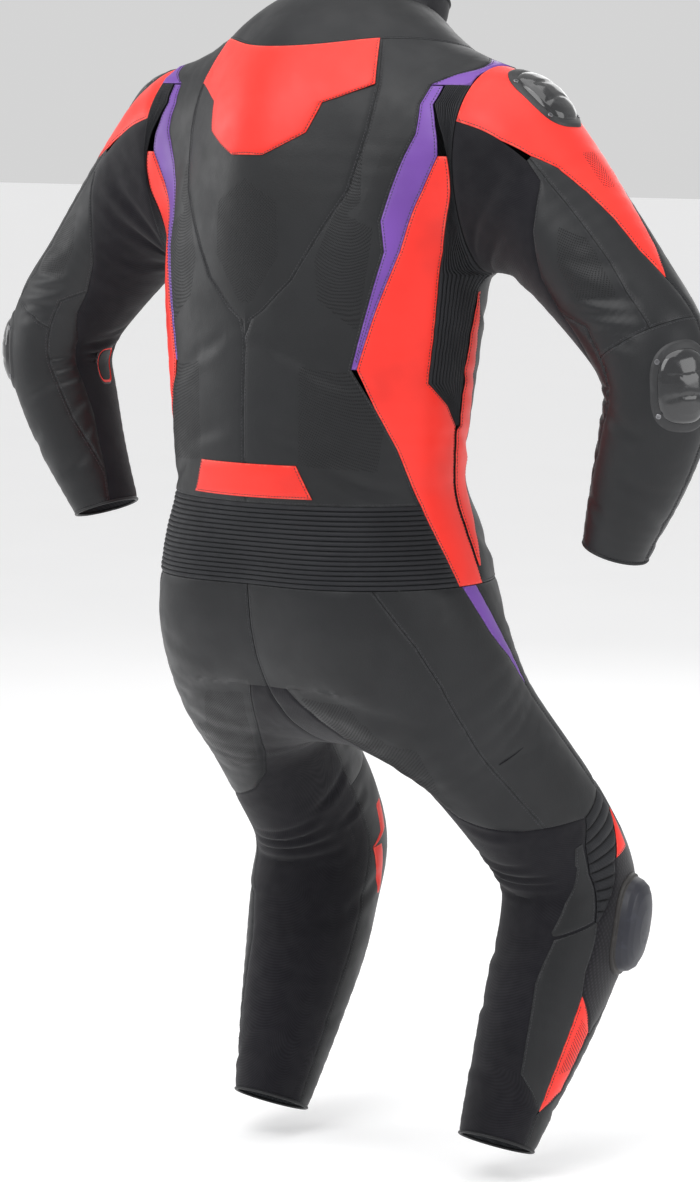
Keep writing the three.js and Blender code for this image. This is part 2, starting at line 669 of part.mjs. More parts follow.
pairOfPanels("knee_rib", legTube, { from: 342, to: 486, left: legLine.calfBack,
  right: legLine.ribFront, wall: STRETCH, ribRows: KNEE_RIB_PITCH, columns: 3, inset: 2 * RIB_INSET,
  finish: "stretch" });
pairOfPanels("knee_loop", legTube, { from: 342, to: 618,
  left: (v) => {
    if (v <= 486) return legLine.ribFront(v);
    return v < 582 ? legLine.calfFront(v) : legLine.redFront(v);
  },
  right: legLine.loopFront, wall: STRETCH, finish: "stretch" });
pairOfPanels("shin_front", legTube, { from: 342, to: HEM_V,
  left: (v) => {
    if (v <= 618) return legLine.loopFront(v);
    return v <= 722 ? legLine.redFront(v) : legLine.calfBack(v);
  },
  right: level(INSEAM_U) });
pairOfPanels("calf_leather", legTube, { from: 486, to: 722, left: legLine.calfBack,
  right: legLine.calfFront });
pairOfPanels("shin_red", legTube, { from: 582, to: 722, left: legLine.calfFront,
  right: legLine.redFront, finish: "red" });

// A hard cup or slider: a round dome on a panel, thickest in its middle.
function domePair(name, tube, size, finish) {
  const columnStep = tube.columnStep;
  const { middleU, middleV, halfU, halfV, height, rim } = size;
  const halfWidth = (v) => {
    const off = Math.min(Math.abs((v - middleV) / halfV), 1);
    return halfU * (0.35 + 0.65 * Math.sqrt(1 - off ** 2.4));
  };
  const marks = 6;
  const heights = [];
  for (let k = 0; k <= marks; k++) heights.push(middleV - halfV + (2 * halfV * k) / marks);
  const grid = { columnStep, surface: (u, v) => tube.surface(u, v), rows: () => heights };
  pairOfPanels(name, grid, { from: middleV - halfV, to: middleV + halfV,
    left: (v) => middleU - halfWidth(v), right: (v) => middleU + halfWidth(v),
    lift: GUARD_LIFT, wall: rim, columns: 6, finish,
    rise: (across, along) => height * Math.sin(Math.PI * across) ** 0.7
      * Math.sin(Math.PI * along) ** 0.7 });
}
domePair("shoulder_cup", armTube,
  { middleU: 92, middleV: 33, halfU: 22, halfV: 24, height: 9, rim: 2 }, "cup");
domePair("elbow_cup", armTube,
  { middleU: 62, middleV: 303, halfU: 36, halfV: 36, height: 8, rim: 2 }, "cup");
domePair("knee_slider", legTube,
  { middleU: 108, middleV: 492, halfU: 27, halfV: 54, height: 18, rim: 5 }, "slider");

export default suit;
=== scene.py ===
"""A one-piece leather motorcycle race suit, filled out as worn and held up at the shoulders.

Every panel is a thin shell on one smooth figure of a trunk, two arms and two legs. A place on it is
(u, v): u is degrees round a tube, from 0 at the back through 90 at the outer side to 180 at the
front, and v is millimetres along the tube from its top. Sizes are in millimetres until a mesh is made.
"""
import logging
import math
from collections.abc import Callable, Sequence
from dataclasses import dataclass, field
from enum import Enum

import bpy
import numpy as np
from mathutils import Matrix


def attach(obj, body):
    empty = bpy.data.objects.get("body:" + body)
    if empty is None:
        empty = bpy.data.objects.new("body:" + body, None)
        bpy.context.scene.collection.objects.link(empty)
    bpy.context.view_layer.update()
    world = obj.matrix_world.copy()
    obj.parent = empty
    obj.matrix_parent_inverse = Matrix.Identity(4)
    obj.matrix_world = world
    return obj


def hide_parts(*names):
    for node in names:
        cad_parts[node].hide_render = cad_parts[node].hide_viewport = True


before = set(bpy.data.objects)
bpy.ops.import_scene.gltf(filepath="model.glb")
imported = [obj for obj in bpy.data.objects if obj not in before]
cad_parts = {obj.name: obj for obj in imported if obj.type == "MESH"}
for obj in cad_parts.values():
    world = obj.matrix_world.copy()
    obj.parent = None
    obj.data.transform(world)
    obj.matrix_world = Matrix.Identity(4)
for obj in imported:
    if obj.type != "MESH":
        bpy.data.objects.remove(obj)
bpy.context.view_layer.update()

Array = np.ndarray
Edge = Callable[[Array], Array]
LOG = logging.getLogger("race_suit")

MM = 0.001
LEATHER_WALL = 2.0
STRETCH_WALL = 1.6
COLLAR_WALL = 2.6
SEAM_HALF_GAP = 0.18
ARMHOLE_X = 226.0
ARMHOLE_TURN = 9.0
ARMHOLE_GAP = 0.3
ARMHOLE_TOP_V = 24.0
ARMHOLE_FOOT_V = 230.1
ARMPIT_U = 94.5
WAIST_V = 579.0
CUFF_V = 488.0
HEM_V = 765.0
CROTCH_V = 206.5
INSEAM_U = 270.0
ZIP_EDGE_U = 176.0
COLLAR_TOP_V = -86.0
COLLAR_BAND_V = -62.0
COLLAR_SEAM_V = 8.0
COLLAR_RISE = 24.0
COLLAR_REACH_UP = 66.0
COLLAR_REACH_DOWN = 60.0
WAIST_RIBS = 17
SIDE_RIBS = 12
KNEE_RIBS = 10
CLOTH_STEP = 6.0
STITCH_INSET = 2.6
RIB_SAMPLES = 6

# The trunk. Columns: x, y, z of the centre, half width, half depth.
TRUNK_ROWS = [
    (0, -61, 82, 81, 74), (0, -32, 38, 89, 82), (0, -9, 8, 112, 96), (0, 6, -18, 153, 112),
    (0, 17, -52, 190, 124), (0, 26, -105, 205, 136), (0, 37, -180, 211, 140),
    (0, 46, -250, 209, 138), (0, 53, -340, 197, 136), (0, 56, -430, 185, 134),
    (0, 53, -497, 181, 132), (0, 47, -570, 190, 138), (0, 40, -635, 176, 130),
    (0, 14, -697, 100, 84)]
# An arm, from the shoulder to the wrist.
ARM_ROWS = [
    (158, 10, -72, 68, 72), (216, 11, -88, 86, 86), (269, 11, -134, 84, 82),
    (328, 10, -191, 74, 74), (382, 10, -248, 67, 68), (426, 12, -300, 64, 65),
    (442, 12, -350, 61, 62), (430, 10, -402, 57, 58), (411, 8, -454, 50, 51),
    (388, 4, -506, 41, 43), (366, -3, -562, 33, 35)]
# A leg, from inside the hip to the ankle.
LEG_ROWS = [
    (88, 41, -560, 86, 126), (101, 35, -620, 98, 130), (120, 13, -690, 102, 112),
    (150, -40, -760, 80, 92), (169, -98, -830, 74, 84), (180, -152, -896, 74, 81),
    (187, -178, -950, 76, 82), (190, -167, -1005, 74, 82), (185, -143, -1065, 70, 76),
    (180, -113, -1130, 61, 67), (174, -82, -1195, 51, 55), (170, -54, -1255, 42, 46)]
HUMP_CENTRE = (0.0, 92.0, -128.0)
HUMP_HALF = (96.0, 88.0, 158.0)
HUMP_BLEND = 36.0
ARM_BLEND = 60.0
LEG_BLEND = 50.0

# Where the rings of each tube stand. Columns: v, x, y, z of the ring's centre, its tilt.
TRUNK_RINGS = [
    (-86, 0, -63, 84, 22), (-60, 0, -47, 60, 20), (-30, 0, -27, 30, 16), (0, 0, -9, 4, 12),
    (40, 0, 11, -40, 6), (90, 0, 24, -90, 0), (180, 0, 37, -180, 0), (250, 0, 46, -250, 0),
    (340, 0, 53, -340, 0), (430, 0, 56, -430, 0), (497, 0, 53, -497, 0), (579, 0, 46, -579, 0)]
ARM_RINGS = [
    (0, 226, 11, -105, 0), (28, 256, 11, -120, 14), (56, 281, 11, -141, 28),
    (84, 301, 10, -165, 41), (145, 349, 10, -212, 46), (205, 395, 10, -262, 50),
    (255, 430, 12, -304, 62), (300, 442, 12, -346, 80), (345, 434, 10, -392, 98),
    (400, 415, 8, -446, 106), (460, 391, 4, -506, 109), (520, 368, -2, -560, 110)]
LEG_RINGS = [
    (0, 90, 41, -579, 0), (60, 101, 31, -638, 4), (120, 118, 11, -694, 14),
    (185, 136, -23, -748, 26), (250, 155, -67, -796, 34), (315, 170, -109, -842, 35),
    (380, 181, -147, -890, 26), (440, 187, -174, -942, 8), (500, 190, -169, -1002, -8),
    (565, 185, -145, -1063, -20), (640, 180, -114, -1130, -26), (705, 175, -85, -1190, -27),
    (765, 171, -60, -1244, -24)]

# Seam lines. Columns: v, then u in degrees.
TRUNK_SEAMS = {
    "yoke_side": [(8, 49), (40, 51), (52, 31), (76, 26), (98, 8)],
    "back_inner": [(8, 50), (40, 52), (76, 50), (136, 45), (170, 38), (204, 31), (236, 24),
                   (270, 10), (281, 3), (300, 0), (487, 0)],
    "back_outer": [(8, 90), (18, 89.3), (40, 67), (52, 64.5), (76, 64), (98, 62), (170, 57),
                   (204, 59), (270, 55), (334, 51), (376, 60), (424, 69), (487, 78)],
    "insert_outer": [(40, 69.6), (52, 67.2), (98, 69), (136, 68), (204, 64), (270, 58), (334, 53)],
    "red_inner": [(334, 53), (376, 60), (424, 69), (487, 78), (579, 87)],
    "red_outer": [(98, 70.5), (136, 73), (204, 77), (300, 78), (350, 78), (376, 87), (400, 93),
                  (487, 97), (579, 100)],
    "rib_inner": [(40, 70), (52, 67.5), (98, 70.5)],
    "rib_outer": [(204, 94.5), (300, 93), (376, 94), (400, 95)],
    "sliver_outer": [(250, 96), (300, 99), (376, 104), (420, 108), (487, 110), (560, 101)],
    "tab_side": [(442, 29), (480, 36)]}
ARM_SEAMS = {
    "sleeve_red_back": [(0, 28), (36, 33), (60, 42), (78, 54), (108, 63), (144, 71), (180, 75),
                        (212, 85.4)],
    "sleeve_red_front": [(0, 150), (60, 136), (108, 120), (180, 104), (212, 86.8)],
    "outer_back": [(60, 40), (108, 42), (180, 42), (212, 39), (250, 40)],
    "stretch_back": [(0, 28), (36, 33), (60, 37), (78, 36), (108, 4), (144, -22), (180, -34),
                     (212, -38), (250, -56), (384, -68), (452, -62), (488, -52)],
    "gusset_back": [(180, -33.4), (212, -16), (250, -24), (384, -40), (452, -60.6)],
    "front_top": [(212, 86), (250, 100), (488, 100)]}
LEG_SEAMS = {
    "thigh_side": [(0, 30), (60, 46), (100, 52), (150, 54), (316, 52)],
    "leather_edge": [(100, -33), (150, -32), (205, -28), (240, -20), (265, -5), (290, 25),
                     (316, 57), (342, 90)],
    "purple_inner": [(0, 84), (60, 100), (100, 114), (150, 124.6)],
    "purple_outer": [(0, 97), (60, 112), (100, 120), (150, 126)],
    "front_side": [(150, 125.3), (205, 130), (342, 131)],
    "calf_back": [(342, 90), (372, 73), (414, 62), (486, 61), (516, 27), (582, 24), (654, 32),
                  (690, 38), (722, 81), (765, 82)],
    "knee_rib_front": [(342, 131), (372, 129), (414, 93), (486, 63.5)],
    "calf_front": [(486, 63.5), (552, 66), (582, 72), (654, 76), (722, 82.4)],
    "shin_red_front": [(582, 72.8), (618, 106), (690, 111), (722, 83.8)],
    "loop_front": [(342, 133.5), (372, 136), (414, 139), (516, 140), (582, 124), (618, 109)],
    "patch_back": [(366, 62), (390, 54), (396, 54), (456, 33), (504, 24), (510, 26)],
    "patch_front": [(366, 71), (414, 60.6), (484, 59), (510, 29)],
    "knee_red_back": [(372, 130), (412, 97)],
    "knee_red_front": [(372, 134), (392, 128), (412, 122)],
    "knee_accent_back": [(398, 232), (430, 238), (444, 262)],
    "knee_accent_front": [(398, 246), (430, 250), (444, 266)],
    "knee_stripe_back": [(444, 250), (500, 236)],
    "knee_stripe_front": [(444, 266), (470, 258), (500, 244)]}
SEAMS = {**TRUNK_SEAMS, **ARM_SEAMS, **LEG_SEAMS}

# Soft troughs (minus) and ridges. Columns: u, v, end u, end v, height, width, bow.
TRUNK_CREASES = [
    (60, 15, 86, 25, -1.7, 3.5, 2), (57, 24, 80, 33, -1.5, 3.4, 2), (64, 34, 84, 38, 1.4, 4, 1),
    (28, 318, 62, 352, -1.7, 8, 7), (8, 404, 46, 432, -1.5, 9, -6), (40, 440, 74, 478, -2.2, 7, 5),
    (12, 300, 34, 322, -1.2, 8, 3), (84, 318, 104, 352, -2.0, 7, 4), (96, 400, 128, 442, -2.6, 8, 6),
    (104, 300, 150, 344, -2.2, 9, 7), (108, 430, 168, 452, -2.8, 8, -5), (120, 110, 158, 176, -2.0, 10, 6),
    (126, 500, 170, 522, -2.4, 8, 4), (104, 520, 140, 560, -2.2, 8, 5), (92, 236, 120, 292, -2.4, 8, 8),
    (112, 52, 150, 92, -1.8, 9, 5), (150, 220, 172, 262, -1.6, 10, 4), (-14, 292, 10, 300, 1.0, 6, 2)]
ARM_CREASES = [
    (-6, 176, 46, 222, -2.8, 5.0, 6), (-12, 195, 40, 238, -3.3, 5.0, 5), (-24, 212, 30, 250, -2.6, 4.5, 4),
    (4, 163, 50, 205, 1.6, 7.0, 5), (-20, 227, 22, 263, -2.4, 5.0, 3), (10, 148, 48, 186, -1.7, 5.0, 6),
    (-122, 238, -62, 260, -3.8, 6.5, -5), (-126, 262, -64, 277, -3.4, 6.0, 3),
    (-118, 285, -68, 292, -2.8, 5.5, 3),
    (-116, 216, -72, 234, -2.6, 6.5, 4), (-60, 18, 20, 58, -2.6, 7.0, 6), (-84, 42, -4, 84, -2.6, 7.0, 5),
    (-100, 70, -40, 118, -2.2, 7.5, 6), (150, 26, 200, 70, -2.2, 8.0, -6), (128, 58, 192, 98, -2.0, 8.0, 5),
    (-34, 328, 28, 350, -1.8, 6.0, 4), (8, 390, 72, 405, -1.5, 6.5, 3), (-52, 420, 10, 441, -2.0, 6.0, 4),
    (58, 430, 122, 447, -1.4, 6.0, 3), (118, 296, 190, 332, -2.2, 7.0, 5), (124, 236, 196, 262, -2.8, 6.5, 4),
    (130, 262, 200, 284, -2.6, 6.5, -3), (-70, 352, -30, 380, -1.6, 5.0, 3),
    (-58, 280, -22, 300, -2.2, 4.0, 2),
    (-60, 302, -26, 318, -2.0, 4.0, 2), (-62, 324, -30, 336, -2.0, 4.0, 2),
    (-64, 392, -38, 410, -1.8, 4.0, 2),
    (100, 452, 170, 468, -1.5, 6.0, 3)]
LEG_CREASES = [
    (-32, 98, 34, 142, -3.8, 8.0, -6), (-20, 118, 26, 158, -2.0, 8.0, -5), (-52, 348, 22, 370, -3.2, 7.0, 5),
    (-56, 376, 34, 394, -3.6, 7.0, 4), (-60, 402, 40, 420, -2.8, 6.5, 4), (-62, 430, 12, 452, -2.4, 6.5, 3),
    (128, 40, 216, 88, -3.0, 9.0, 7), (140, 74, 222, 122, -2.8, 9.0, 6), (204, 110, 250, 168, -2.4, 8.0, 5),
    (-84, 520, -8, 558, -2.0, 8.0, 6), (-92, 598, 0, 632, -1.8, 8.0, 4), (-60, 676, 44, 700, -2.3, 7.0, 4),
    (22, 716, 92, 735, -1.9, 6.0, 3), (98, 700, 206, 732, -1.8, 7.0, 5), (-116, 470, -70, 520, -2.2, 8.0, 5),
    (150, 300, 226, 330, -2.4, 8.0, 5), (-100, 300, -40, 336, -2.6, 7.0, 5),
    (-108, 360, -60, 384, -2.6, 6.0, 4),
    (50, 196, 100, 226, -1.7, 9.0, 6), (-8, 268, 36, 300, -1.6, 8.0, 4), (-120, 640, -60, 668, -1.8, 7.0, 4),
    (150, 560, 220, 590, -1.6, 8.0, 4), (210, 250, 262, 276, -2.2, 7.0, 4)]

# Perforated fields, as corners of (u, v).
TRUNK_PERFORATED = [
    [(-2, 120), (16, 150), (18, 210), (4, 262), (-4, 262), (-18, 210), (-16, 150), (2, 120)],
    [(34, 80), (49, 84), (50, 150), (41, 174), (44, 120)],
    [(41, 158), (55, 178), (53, 292), (37, 258), (34, 214)],
    [(30, 332), (52, 338), (64, 400), (62, 448), (30, 442)]]
ARM_PERFORATED = [[(24, 122), (38, 150), (30, 212), (-4, 190), (2, 150)]]
LEG_PERFORATED = [
    [(-30, 108), (-6, 112), (4, 152), (20, 160), (14, 196), (4, 224), (-20, 212), (-27, 160)],
    [(82, 606), (100, 618), (106, 662), (84, 676)]]
RED_SLEEVE_PERFORATED = [[(80, 76), (96, 76), (96, 112), (80, 112)]]


def unit(vectors: Array) -> Array:
    """The vectors with length one."""
    return vectors / np.maximum(np.linalg.norm(vectors, axis=-1, keepdims=True), 1e-9)


@dataclass
class Limb:
    """A tube of elliptical sections along a smooth curve."""

    rows: Sequence[tuple[float, ...]]
    steps_between: int = 4

    def __post_init__(self) -> None:
        """Lays the smooth curve through the table's rows."""
        table = np.array(self.rows, float)
        ends = np.vstack([2 * table[0] - table[1], table, 2 * table[-1] - table[-2]])
        made = []
        for i in range(1, len(ends) - 2):
            p, q, r, s = ends[i - 1:i + 3]
            for k in range(self.steps_between):
                t = k / self.steps_between
                made.append(0.5 * (2 * q + (r - p) * t + (2 * p - 5 * q + 4 * r - s) * t * t
                                   + (3 * q - p - 3 * r + s) * t ** 3))
        made.append(table[-1])
        rings = np.array(made)
        self.centres = rings[:, :3]
        self.sizes = rings[:, 3:5]
        along = unit(np.gradient(self.centres, axis=0))
        self.back = unit(np.array([0.0, 1.0, 0.0]) - along * along[:, 1:2])
        self.out = np.cross(self.back, along)

    def distance(self, points: Array) -> Array:
        """How far points lie outside the limb.

        Args:
            points: One point a row.
        Returns:
            A distance for each, negative inside.
        """
        best = np.full(len(points), 1e9)
        for i in range(len(self.centres) - 1):
            step = self.centres[i + 1] - self.centres[i]
            length = float(np.linalg.norm(step))
            away = points - self.centres[i]
            t = away @ step / length ** 2
            held = np.clip(t, 0.0, 1.0)
            wide = self.sizes[i, 0] + (self.sizes[i + 1, 0] - self.sizes[i, 0]) * held
            deep = self.sizes[i, 1] + (self.sizes[i + 1, 1] - self.sizes[i, 1]) * held
            away = away - step * held[:, None]
            out = away @ self.out[i] * (1 - held) + away @ self.out[i + 1] * held
            back = away @ self.back[i] * (1 - held) + away @ self.back[i + 1] * held
            small = np.minimum(wide, deep)
            past = (t - held) * length
            value = (np.sqrt((out / wide) ** 2 + (back / deep) ** 2 + (past / small) ** 2) - 1) * small
            best = np.minimum(best, value)
        return best


def joined(a: Array, b: Array, blend: float) -> Array:
    """The union of two distances, with a round of the given size between them."""
    close = np.maximum(blend - np.abs(a - b), 0) / blend
    return np.minimum(a, b) - close * close * blend * 0.25


class Figure:
    """The general figure that fills the suit, the same on the left and on the right."""

    def __init__(self) -> None:
        """Makes the trunk, an arm and a leg."""
        self.trunk = Limb(TRUNK_ROWS)
        self.arm = Limb(ARM_ROWS)
        self.leg = Limb(LEG_ROWS)

    def distance(self, points: Array) -> Array:
        """How far points lie outside the figure.

        Args:
            points: One point a row.
        Returns:
            A distance for each, negative inside.
        """
        out = np.empty(len(points))
        chunk = 16384
        for start in range(0, len(points), chunk):
            part = points[start:start + chunk].copy()
            part[:, 0] = np.abs(part[:, 0])
            hump = (np.linalg.norm((part - HUMP_CENTRE) / HUMP_HALF, axis=1) - 1) * HUMP_HALF[1]
            value = joined(self.trunk.distance(part), hump, HUMP_BLEND)
            value = joined(value, self.arm.distance(part), ARM_BLEND)
            out[start:start + chunk] = joined(value, self.leg.distance(part), LEG_BLEND)
        return out

    def normals(self, points: Array) -> Array:
        """The outward directions at points of the surface, turned square near the armhole."""
        reach = 0.5
        at = self.distance(points)
        steps = [self.distance(points + reach * axis) - at for axis in np.eye(3)]
        normal = unit(np.stack(steps, axis=1))
        off = np.clip(np.abs(points[:, 0] - ARMHOLE_X) / ARMHOLE_TURN, 0, 1)
        normal[:, 0] *= off
        return unit(normal)


FIGURE = Figure()


class TubeKind(Enum):
    """The three tubes of the figure."""

    TRUNK = "trunk"
    ARM = "arm"
    LEG = "leg"


@dataclass
class Tube:
    """A chart of one tube of the figure."""

    kind: TubeKind
    rings: Sequence[tuple[float, ...]]
    mm_per_degree: float
    creases: Sequence[tuple[float, ...]]

    def ring_at(self, v: Array) -> Array:
        """The ring's centre and tilt at each v, on a smooth curve through the table."""
        table = np.array(self.rings, float)
        below = np.vstack([table[:1], table[:-1]])
        above = np.vstack([table[1:], table[-1:]])
        slopes = (above[:, 1:] - below[:, 1:]) / (above[:, :1] - below[:, :1])
        i = np.clip(np.searchsorted(table[:, 0], v) - 1, 0, len(table) - 2)
        step = (table[i + 1, 0] - table[i, 0])[:, None]
        t = (v - table[i, 0])[:, None] / step
        return ((2 * t ** 3 - 3 * t ** 2 + 1) * table[i, 1:] + (t ** 3 - 2 * t ** 2 + t) * step * slopes[i]
                + (3 * t ** 2 - 2 * t ** 3) * table[i + 1, 1:] + (t ** 3 - t ** 2) * step * slopes[i + 1])

    def shifted(self, u: Array, v: Array) -> Array:
        """v with the rise of the collar's seam over the shoulders, on the trunk."""
        if self.kind is not TubeKind.TRUNK:
            return v
        reach = np.where(v < COLLAR_SEAM_V, COLLAR_REACH_UP, COLLAR_REACH_DOWN)
        off = np.minimum(np.abs(v - COLLAR_SEAM_V) / reach, 1)
        near = 1 - off * off * (3 - 2 * off)
        return v - COLLAR_RISE * near * np.sin(np.radians(u)) ** 2

    def rays(self, u: Array, v: Array) -> tuple[Array, Array]:
        """The centres and outward directions that places (u, v) stand on."""
        ring = self.ring_at(self.shifted(u, v))
        tilt = np.radians(ring[:, 3])
        zero = np.zeros(len(u))
        one = zero + 1
        if self.kind is TubeKind.ARM:
            back = np.stack([zero, one, zero], axis=1)
            out = np.stack([np.sin(tilt), zero, np.cos(tilt)], axis=1)
        else:
            rise = np.sin(tilt) if self.kind is TubeKind.TRUNK else -np.sin(tilt)
            back = np.stack([zero, np.cos(tilt), rise], axis=1)
            out = np.stack([one, zero, zero], axis=1)
        angle = np.radians(u)[:, None]
        return ring[:, :3], back * np.cos(angle) + out * np.sin(angle)

    def surface(self, u: Array, v: Array) -> Array:
        """The figure's surface at places (u, v).

        Args:
            u: Degrees round the tube.
            v: Millimetres along it, one for each u.
        Returns:
            One point a row.
        """
        centre, way = self.rays(u, v)
        far = np.full(len(u), 18.0)
        going = np.arange(len(u))
        stride = 12.0
        reach = 420.0
        while going.size:
            value = FIGURE.distance(centre[going] + way[going] * far[going, None])
            going = going[value <= 0]
            far[going] += stride
            going = going[far[going] < reach]
        near = np.maximum(far - stride, 0)
        for _ in range(9):
            middle = (near + far) / 2
            outside = FIGURE.distance(centre + way * middle[:, None]) > 0
            far = np.where(outside, middle, far)
            near = np.where(outside, near, middle)
        return centre + way * ((near + far) / 2)[:, None]

    def crossing(self, v: Array, start: Array, stop: Array, passed: Callable[[Array], Array]) -> Array:
        """The last angle from start towards stop before the surface passes a plane.

        Args:
            v: The heights, one for each result.
            start: The angle to start from at each.
            stop: The angle to go towards at each.
            passed: Tells of each x whether it is past the plane.
        Returns:
            The angle at each height, or stop where the plane isn't passed.
        """
        strides = 72
        share = np.linspace(0, 1, strides + 1)
        u = start[:, None] + (stop - start)[:, None] * share
        x = self.surface(u.ravel(), np.repeat(v, strides + 1))[:, 0].reshape(u.shape)
        past = passed(x)
        first = np.argmax(past, axis=1)
        found = past.any(axis=1)
        rows = np.arange(len(v))
        before = u[rows, np.maximum(first - 1, 0)]
        after = u[rows, first]
        for _ in range(10):
            middle = (before + after) / 2
            past_middle = passed(self.surface(middle, v)[:, 0])
            after = np.where(past_middle, middle, after)
            before = np.where(past_middle, before, middle)
        return np.where(found, before, stop)

    def crease_height(self, u: Array, v: Array, side: int) -> Array:
        """The height of all creases at places (u, v), a little different on each side."""
        height = np.zeros(u.shape)
        right = np.full(u.shape, side < 0)
        if self.kind is TubeKind.TRUNK:
            right = right ^ ((u < 0) | (u > 180))
            u = np.where(u > 180, 360 - u, np.abs(u))
        for k, (u0, v0, u1, v1, rise, width, bow) in enumerate(self.creases):
            span = np.array([(u1 - u0) * self.mm_per_degree, v1 - v0])
            length = float(np.linalg.norm(span))
            turn = (u - u0 + 180) % 360 - 180
            across = turn * self.mm_per_degree
            down = v - v0 - np.where(right, 4.0 * math.sin(2.3 * k + 1.1), 0.0)
            t = (across * span[0] + down * span[1]) / length ** 2
            off = (across * -span[1] + down * span[0]) / length - bow * 4 * t * (1 - t)
            fade = np.clip(np.sin(np.pi * np.clip(t, 0, 1)), 0, 1) ** 0.7
            height += rise * fade * np.exp(-(off / width) ** 2)
            height -= 0.45 * rise * fade * np.exp(-((off - 1.9 * width) / width) ** 2)
        return height


TRUNK = Tube(TubeKind.TRUNK, TRUNK_RINGS, 3.6, TRUNK_CREASES)
ARM = Tube(TubeKind.ARM, ARM_RINGS, 1.25, ARM_CREASES)
LEG = Tube(TubeKind.LEG, LEG_RINGS, 1.5, LEG_CREASES)


def seam(name: str, turn: float = 0.0) -> Edge:
    """The seam line of that name as a function of v, moved round by turn degrees."""
    table = np.array(SEAMS[name], float)
    return lambda v: np.interp(v, table[:, 0], table[:, 1]) + turn


def corner_heights(seams: dict[str, list[tuple[float, float]]]) -> list[float]:
    """The heights at which any seam line of a tube turns."""
    return sorted({v for rows in seams.values() for v, _ in rows})


def level(u: float) -> Edge:
    """A line at one angle."""
    return lambda v: np.full(len(v), u)


def mirrored(edge: Edge) -> Edge:
    """The same line on the other side of the middle."""
    return lambda v: -edge(v)


def changing(at: float, before: Edge, after: Edge) -> Edge:
    """One line up to a height and another below it."""
    return lambda v: np.where(v <= at, before(v), after(v))


def armhole(start: float) -> Edge:
    """The armhole, met on the way round from the angle start."""
    def edge(v: Array) -> Array:
        middle = np.where(v < 120, 90.0, ARMPIT_U)
        inside = (v > ARMHOLE_TOP_V) & (v < ARMHOLE_FOOT_V)
        found = TRUNK.crossing(v, np.full(len(v), start), middle, lambda x: x >= ARMHOLE_X - ARMHOLE_GAP)
        return np.where(inside, found, middle)
    return edge


def middle_seam(start: float, stop: float, turn: float) -> Edge:
    """The line where a leg's panels meet the middle, and the inseam below the crotch."""
    def edge(v: Array) -> Array:
        found = LEG.crossing(v, np.full(len(v), start), np.full(len(v), stop), lambda x: x <= 0)
        return np.where(v < CROTCH_V, found, INSEAM_U) + turn
    return edge


SLOTS = {
    "black": "black_leather", "red": "red_leather", "purple": "purple_leather",
    "stretch": "stretch", "collar": "collar_fabric", "cup": "cup", "slider": "slider", "zip": "zip"}


